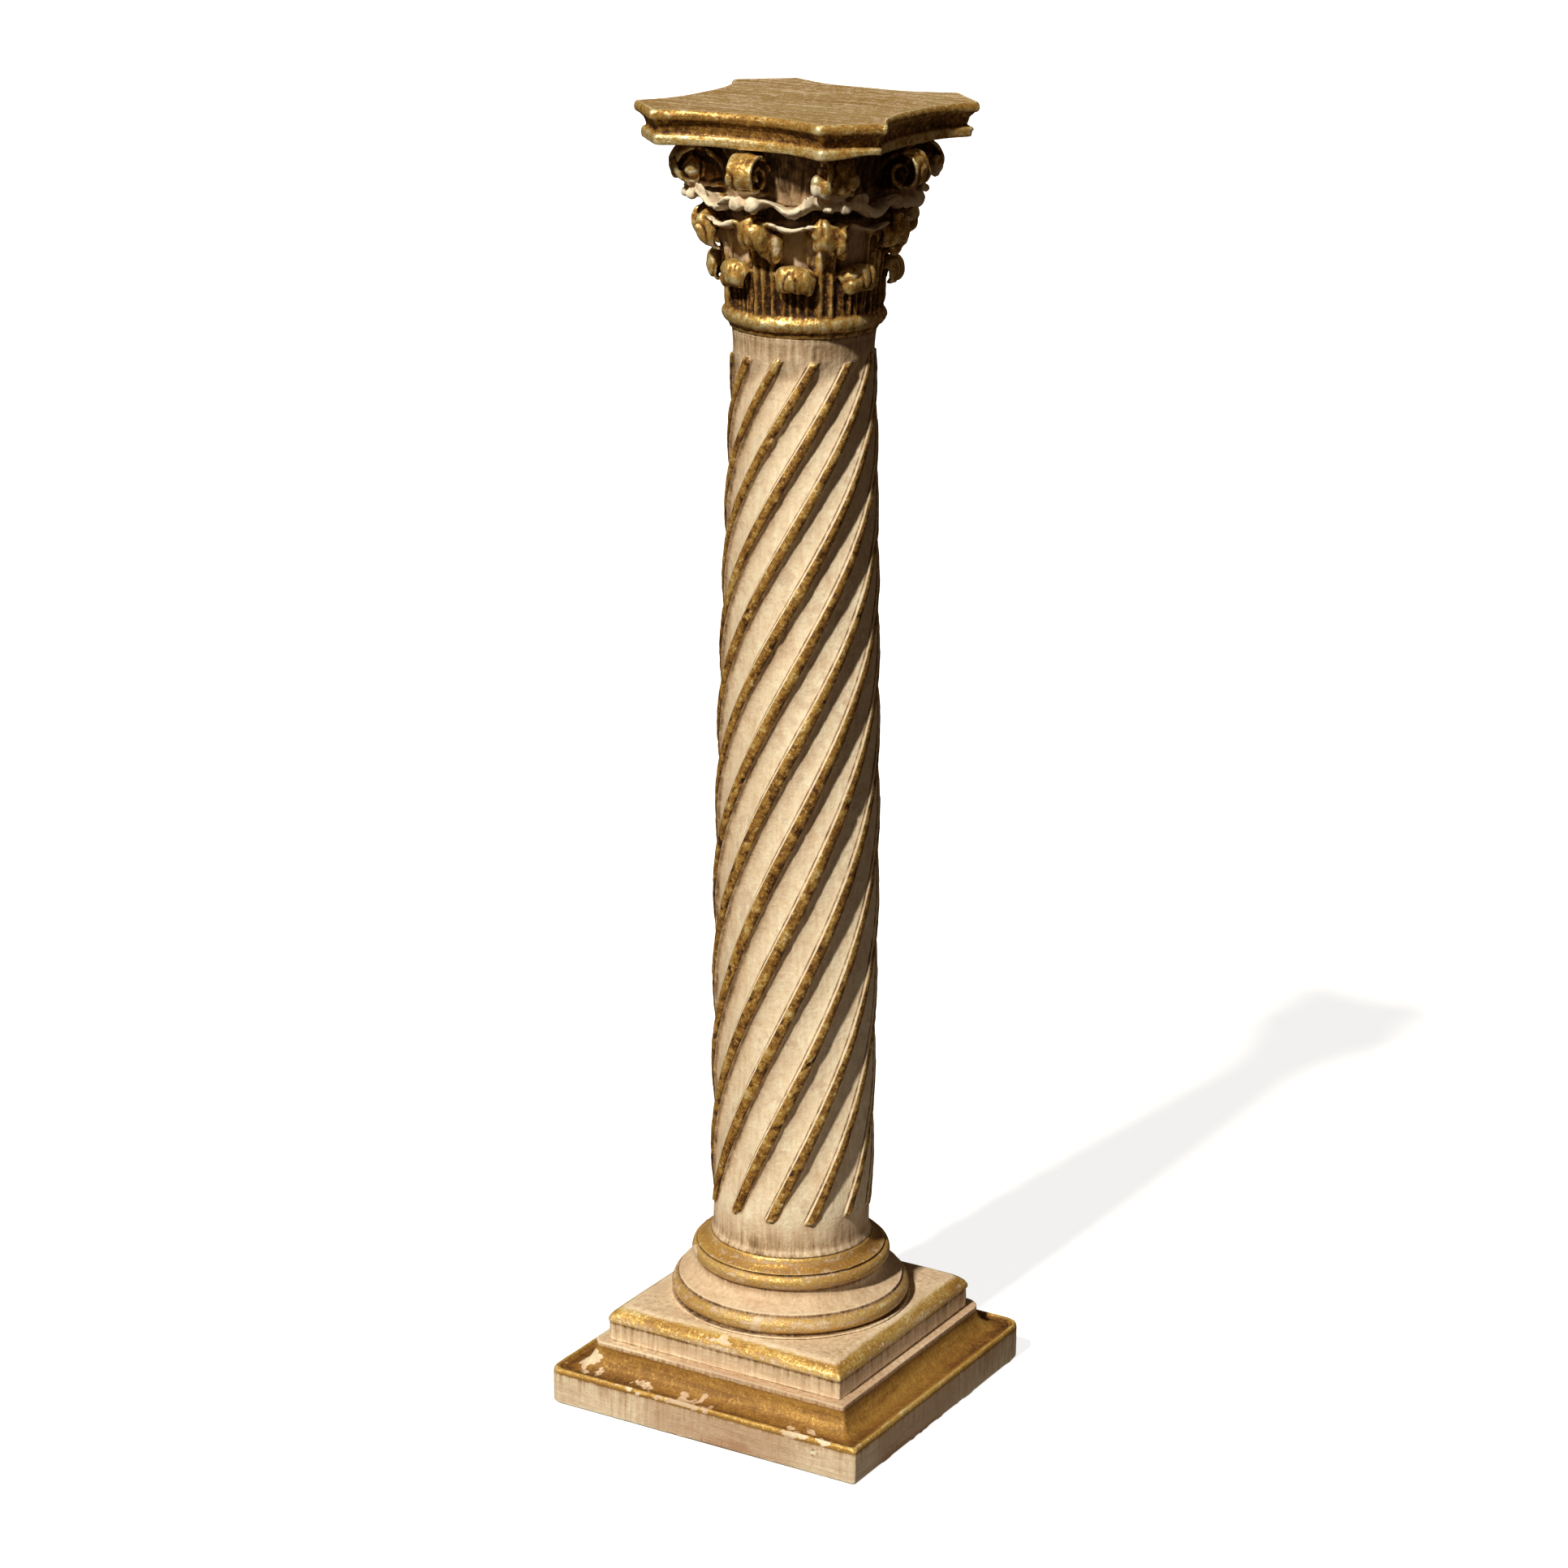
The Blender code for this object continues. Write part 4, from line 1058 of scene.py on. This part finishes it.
def capital_shells(foot, top):
    """Bell and ring, eight low and eight tall leaves, eight scrolls, knobs, small leaves and buds,
    and two wavy ledges."""
    shells = [skin(turned_grid(even_line(bell_line(foot, top), 0.003), 120))]
    low = foot + RING_HEIGHT - 0.002
    lower = leaf_path(low, foot + LOWER_LEAF_TOP - low, LOWER_LEAF_R, 0.0096, 0.7)
    start = foot + 0.02
    upper = leaf_path(start, foot + UPPER_LEAF_TOP - start, UPPER_LEAF_R, 0.0105, 0.8)
    for k in range(8):
        turn = 45.0 * k
        corner = k % 2 == 1
        shells.append(leaf_shell(lower, 0.0088, turn + 22.5, 0.001 * (-1) ** k, RIB_LEAF, k))
        carving = CLEFT_LEAF if corner else BEAK_LEAF
        shells.append(leaf_shell(upper, 0.0105, turn, 0.004, carving, k + 3))
        if not corner:
            shells.append(ball_shell(around(0.0745, turn + 10.5, foot + 0.0765), 0.0086, 1.75))
        reach = CORNER_REACH if corner else SIDE_REACH
        shells += scroll_shells(reach, top - 0.0008, turn, corner)
        for side, tall in ((-KNOB_TURN, 0.92 - 0.12), (KNOB_TURN, 0.92 + 0.12)):
            spot = around(LEDGE_R - 0.0005, turn + side, foot + LEDGE_HEIGHT - 0.001)
            shells.append(ball_shell(spot, KNOB_R - 0.0018 * corner, tall))
        if corner:
            for side, level in ((-10.6, 0.129), (-7.0, 0.127)):
                shells.append(ball_shell(around(0.1035, turn + side, foot + level), 0.0056, 1.6))
            for side in (-12.0, 12.0):
                shells.append(tip_shell(turn + side, foot + LEDGE_HEIGHT + 0.004, LEDGE_R))
    shells.append(ledge_shell(foot + LEDGE_HEIGHT, LEDGE_R, LEDGE_WAVE, 0.0066, 5))
    shells.append(ledge_shell(foot + LOWER_LEDGE, LOWER_LEDGE_R, 0.0024, 0.0038, 15))
    return shells


def capital_marks(mesh, points, foot, crease):
    """Keep the capital's numbers. The leaf is gone on the ledges, on the bell's wall and in
    patches. Painted shade darkens the bell up under the top board, between the ledges, behind the
    low leaves and in the creases; painted light brightens the wall between the low leaf heads and
    the lower ledge, and the ring and the ledges are paler."""
    radius = np.hypot(points[:, 0], points[:, 1])
    height = points[:, 2] - foot
    local = from_scroll(np.degrees(np.arctan2(points[:, 0], -points[:, 1])))
    out_share = np.clip((radius - BELL_WAIST_R) / (LEDGE_R - BELL_WAIST_R), 0.0, 1.1)
    edge_rise = ledge_rise(local, LEDGE_WAVE) + LEDGE_TURN_UP
    ledge_z = LEDGE_HEIGHT - LEDGE_TURN_UP + edge_rise * out_share
    on_ledge = near(height - ledge_z, 0.0006, 0.0092, 0.002) * ramp(radius, 0.07, 0.08)
    lower = near(height, LOWER_LEDGE, 0.0045, 0.002) * ramp(radius, 0.074, 0.08)
    on_ledge = np.maximum(on_ledge, lower * ramp(local, 9.0, 13.0))
    tips = ramp(height, 0.112, 0.115) * near(height, 0.121, 0.01, 0.002)
    tips *= ramp(radius, 0.088, 0.09) * ramp(local, 8.0, 10.0)
    on_ledge = np.maximum(on_ledge, tips)
    wall = np.interp(height, [0.0, 0.075, 0.115, 0.151], [0.059, 0.062, 0.0665, 0.075])
    on_wall = ramp(0.0045 + wall - radius, 0.0, 0.003) * ramp(height, 0.05, 0.062)
    inside = ramp(0.088 - radius, 0.0, 0.006)
    bare = ramp(noise(points, 0.02, 3, 91), 0.15, 0.6) * ramp(height, 0.05, 0.07) * inside
    gilt = 1.0 - np.clip(0.95 * on_ledge + 0.8 * on_wall + 0.6 * bare, 0.0, 1.0)
    # Painted shade up under the top board, between the ledges and behind the low leaves.
    over = ramp(height, 0.108, 0.124) * ramp(0.096 - radius, 0.0, 0.018)
    between = ramp(height, LOWER_LEDGE, LOWER_LEDGE + 0.004)
    between *= ramp(LEDGE_HEIGHT - height, 0.002, 0.006) * inside
    low_wall_shade = ramp(height, 0.0175, 0.02) * ramp(0.062 - height, 0.0, 0.01)
    low_wall_shade *= ramp(0.07 - radius, 0.0, 0.008)
    dark = np.maximum(np.maximum(over, between), 0.9 * low_wall_shade)
    # Painted light on the wall below the lower ledge, where the ledges cast shade.
    painted_light_wall = ramp(height, 0.06, 0.066) * ramp(0.092 - height, 0.0, 0.004) * (1.0 - gilt)
    ring = ramp(0.02 - height, 0.0, 0.002) * ramp(height, 0.004, 0.008)
    pale = 0.22 * ring + 0.2 * on_ledge + 0.3 * painted_light_wall
    keep_number(mesh, "gilt", gilt)
    # The creases are painted darker on the gilding, as shade.
    keep_number(mesh, "stain", 0.8 * dark + 0.26 * crease * gilt - pale)
    mark_edges_and_hollows(mesh, 5, 0.00034, 50, 0.0021)


def capital(foot, top):
    """The capital's shells, melted into one skin of small cubes, smoothed like thick gesso and cut
    by creases where a soft noise is near 0."""
    rough = mesh_of("capital_shells", capital_shells(foot, top))
    mesh = modified(rough, "capital_melted", "REMESH", {"mode": "VOXEL", "voxel_size": VOXEL})
    mesh.shade_smooth()
    points = neighbour_mean(mesh, mesh_points(mesh), 2)
    move_points(mesh, points)
    calm = ramp(points[:, 2], foot, foot + 0.002) * ramp(top - points[:, 2], 0.0, 0.002)
    crossing = np.abs(soft_noise(points * (1.0, 1.0, 0.55) / 0.0095, SEED + 87))
    leafy = ramp(np.hypot(points[:, 0], points[:, 1]), 0.064, 0.07)
    leafy *= ramp(points[:, 2] - foot, 0.019, 0.024)
    crease = ramp(0.3 - crossing, 0.0, 0.3) * leafy
    lumps = 0.00055 * noise(points, 0.011, 2, 81) + 0.0003 * noise(points, 0.0045, 2, 83)
    points = points + mesh_outward(mesh) * (lumps * calm - 0.0011 * crease)[:, None]
    points[:, 2] = np.clip(points[:, 2], foot, top)
    move_points(mesh, points)
    capital_marks(mesh, points, foot, crease)
    return thinned(mesh, "capital_look", CAPITAL_TRIANGLES)


# The top board

LIP_HALF = 0.1155
LIP_CUT = 0.075
LIP_MIDDLE = 0.0965
SIDE_POWER = 2.6
SIDE_COLUMNS = 96
CORNER_COLUMNS = 34
FLAT_ROWS = 38
# The edge from its top down: share of its height, how far the sides and the hollows' middles are
# drawn in, gilding
LIP_ROWS = (
    (1.00, 0.0034, 0.0034, 0.35), (0.975, 0.0018, 0.0018, 0.9), (0.93, 0.0007, 0.0007, 1.0),
    (0.86, 0.0, 0.0, 1.0), (0.78, 0.0002, 0.0002, 1.0), (0.725, 0.0010, 0.0010, 0.9),
    (0.70, 0.0032, 0.0026, 0.8), (0.63, 0.0055, 0.0038, 0.9), (0.56, 0.0078, 0.0055, 1.0),
    (0.48, 0.0091, 0.0063, 1.0), (0.40, 0.0098, 0.0069, 1.0), (0.345, 0.0100, 0.0070, 0.9),
    (0.305, 0.0080, 0.0060, 0.7), (0.27, 0.0066, 0.0049, 1.0), (0.20, 0.0059, 0.0044, 1.0),
    (0.08, 0.0060, 0.0045, 1.0), (0.02, 0.0066, 0.0051, 0.9), (0.0, 0.0084, 0.0068, 0.6),
)


def board_outline(half, cut, middle):
    """Outlines with four hollow sides, middle + (half - middle) |s|^2.6 for s from -1 to 1, joined
    by straight cuts and softened by a bell curve, one for each profile row."""
    s = np.linspace(-1.0, 1.0, SIDE_COLUMNS)[None, :]
    half, cut, middle = (np.asarray(v)[:, None] for v in (half, cut, middle))
    side = np.stack([s * cut, -(middle + (half - middle) * np.abs(s) ** SIDE_POWER)], -1)
    quarters = [quarter_turn(side, k) for k in range(4)]
    parts = []
    for k in range(4):
        start, end = quarters[k][:, -1:], quarters[(k + 1) % 4][:, :1]
        share = np.linspace(0.0, 1.0, CORNER_COLUMNS + 2)[1:-1][None, :, None]
        parts += [quarters[k], start + (end - start) * share]
    line = np.concatenate(parts, axis=1)
    weights = np.exp(-0.5 * (np.arange(-4, 5) / 1.5) ** 2)
    weights /= weights.sum()
    return sum(w * np.roll(line, k - 4, axis=1) for k, w in enumerate(weights))


def abacus(foot, top):
    """The top board: lip, cove and band, each drawn in from the lip's outline, one worn corner at
    the right, and fine streaks on the flat top."""
    tall = top - foot
    share, side, middle, gilt = np.array(LIP_ROWS).T
    z = share * tall
    run = np.concatenate([[0.0], np.cumsum(np.hypot(np.diff(z), np.diff(side)))])
    cuts = np.arange(0.0, run[-1], 0.00075)
    z, side, middle, gilt = (np.interp(cuts, run, v) for v in (z, side, middle, gilt))
    outline = board_outline(LIP_HALF - side, LIP_CUT - 0.2 * side, LIP_MIDDLE - middle)
    level = np.broadcast_to((foot + z)[:, None, None], outline.shape[:2] + (1,))
    edge = np.concatenate([outline, level], -1)
    shares = np.linspace(0.04, 0.985, FLAT_ROWS)[:, None, None] * (1.0, 1.0, 0.0) + (0.0, 0.0, 1.0)
    grid = np.concatenate([edge[0] * shares, edge, (edge[-1] * shares)[::-1]])
    turn = np.degrees(np.arctan2(grid[..., 0], -grid[..., 1]))
    low = ramp(0.011 - (grid[..., 2] - foot), 0.0, 0.011)
    outer = ramp(np.hypot(grid[..., 0], grid[..., 1]), 0.085, 0.105)
    grid[..., 2] += 0.0036 * swell(turn - 52.0, 9.0) * low * outer
    worn = wear_down(grid, 33, 0.0004, 0.045, 0.0017, 0.01)
    flat = ramp(grid[..., 2], top - 0.0002, top)
    streaks = noise(grid, 0.02, 3, 35, (0.25, 1.6, 1.0)) * 0.00022 - 0.0003
    worn[..., 2] = np.clip(worn[..., 2] + flat * streaks, foot, top)
    mesh = mesh_of("abacus_look", [skin(worn)])
    cove = near(z, 0.5 * tall, 0.0072, 0.003)
    band = ramp(0.35 * tall - z, 0.0, 0.002)
    # Painted shade in the cove under the lip and on the underside; painted light on the band below.
    shade = 0.28 * cove - (0.02 + 0.38 * band) * (1.0 - cove)
    bands = (("gilt", 0.52, gilt, 0.5, (0.5, 0.5)), ("stain", -0.1, shade, 0.6, (0.4, 0.6)))
    for name, upper, values, lower, ends in bands:
        rows = np.concatenate([np.full(FLAT_ROWS, upper), values, np.full(FLAT_ROWS, lower)])
        keep_number(mesh, name, np.repeat(rows, grid.shape[1]), ends)
    mark_edges_and_hollows(mesh, 4, 0.0004, 22, 0.0016)
    return mesh


# The six pieces


# Per piece: tone of the gold, tone of the cream, unevenness of the gold, its streaks, strength of
# the brush strokes, shine of the gold
TONES = {
    "plinth_board": (0.05, -0.02, 0.42, LONG, 0.85),
    "plinth_block": (0.14, -0.05, 0.75, LEVEL, 0.6),
    "turned_base": (0.06, -0.16, 0.65, LEVEL, 0.4),
    "shaft": (-0.11, 0.06, 1.15, (0.6, 0.6, 0.6), 0.45),
    "capital": (0.06, -0.15, 1.0, (1.0, 1.0, 0.35), 0.3, 0.6),
    "abacus": (0.07, -0.12, 1.1, (0.07, 0.9, 1.0), 0.15, 0.5),
}
BOARD_CORNERS = (0.01, 0.003, 0.015, 0.006)
BOARD_GRID = (0.00095, 0.0006, 0.03, 128, 9, 11)
BLOCK_CORNERS = (0.006, 0.002, 0.008, 0.004)
BLOCK_GRID = (0.0009, 0.0006, 0.03, 110, 8, 15)


def levels(node):
    """A solid's lowest and highest level."""
    low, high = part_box(node)
    return low.z, high.z


board = square_piece("plinth_board_look", board_line(), BOARD_CORNERS, BOARD_GRID, LEAF_LOSSES)
piece("plinth_board", board)
profile = block_line(levels("plinth_block")[0])
block = square_piece("plinth_block_look", profile, BLOCK_CORNERS, BLOCK_GRID, ())
piece("plinth_block", block)
piece("turned_base", turned_base(levels("turned_base")[0]))
for node, shape in (("shaft", shaft), ("capital", capital), ("abacus", abacus)):
    piece(node, shape(*levels(node)))


# Floor, lights and camera


KEY_HEIGHT = np.radians(45.0)
KEY_TURN = -3.0
REFLECTOR_TURN = 82.0
FLOOR_LOOK = {
    "Base Color": (0.8, 0.8, 0.8, 1.0),
    "Roughness": 0.9,
    "Emission Color": (1.0, 1.0, 1.0, 1.0),
    "Emission Strength": 0.85,
}


def face(item, way):
    """Turn a light so that it shines this way."""
    item.rotation_euler = Vector(way).to_track_quat("-Z", "Y").to_euler()


def studio():
    """A pale floor that bends up into a round wall and lets the light through, one warm key from
    the left front, a weak fill, a small reflector at the right, and the camera."""
    bend = np.radians(np.linspace(0.0, 90.0, 10))
    wall = [(8.0, 14.0)]
    wall += [(6.0 + 2.0 * np.cos(t), 2.0 - 2.0 * np.sin(t)) for t in bend] + [(0.02, 0.0)]
    mesh = mesh_of("floor", [skin(turned_grid(np.array(wall), 72))])
    floor = add_item("floor", mesh)
    pale = Finish("pale_floor")
    pale.fill(FLOOR_LOOK)
    mesh.materials.append(pale.material)
    for ray in ("diffuse", "glossy", "shadow"):
        setattr(floor, "visible_" + ray, False)

    sun = bpy.data.lights.new("key", "SUN")
    sun.energy = 3.9
    sun.angle = np.radians(4.0)
    sun.color = (1.0, 0.92, 0.78)
    face(add_item("key", sun), around(-np.cos(KEY_HEIGHT), KEY_TURN, -np.sin(KEY_HEIGHT)))

    world = bpy.data.worlds.new("room")
    world.use_nodes = True
    sky = world.node_tree.nodes["Background"].inputs
    sky["Color"].default_value = (1.0, 0.66, 0.4, 1.0)
    sky["Strength"].default_value = 0.054
    bpy.context.scene.world = world

    bounce = bpy.data.lights.new("reflector", "AREA")
    bounce.shape = "DISK"
    bounce.size = 0.16
    bounce.energy = 0.26
    bounce.color = (1.0, 0.93, 0.82)
    item = add_item("reflector", bounce)
    item.location = around(0.55, REFLECTOR_TURN, 0.06)
    face(item, around(-1.0, REFLECTOR_TURN, 0.0))
    item.visible_camera = False
    bpy.context.scene.view_settings.view_transform = "Standard"

    lens = bpy.data.cameras.new("camera")
    lens.sensor_width = 36.0
    lens.lens = 94.4305
    camera = add_item("camera", lens)
    camera.location = (1.6317, -2.8229, 1.5549)
    camera.rotation_euler = np.radians([72.698, -0.7316, 30.4558])
    bpy.context.scene.camera = camera


studio()
bpy.context.view_layer.update()
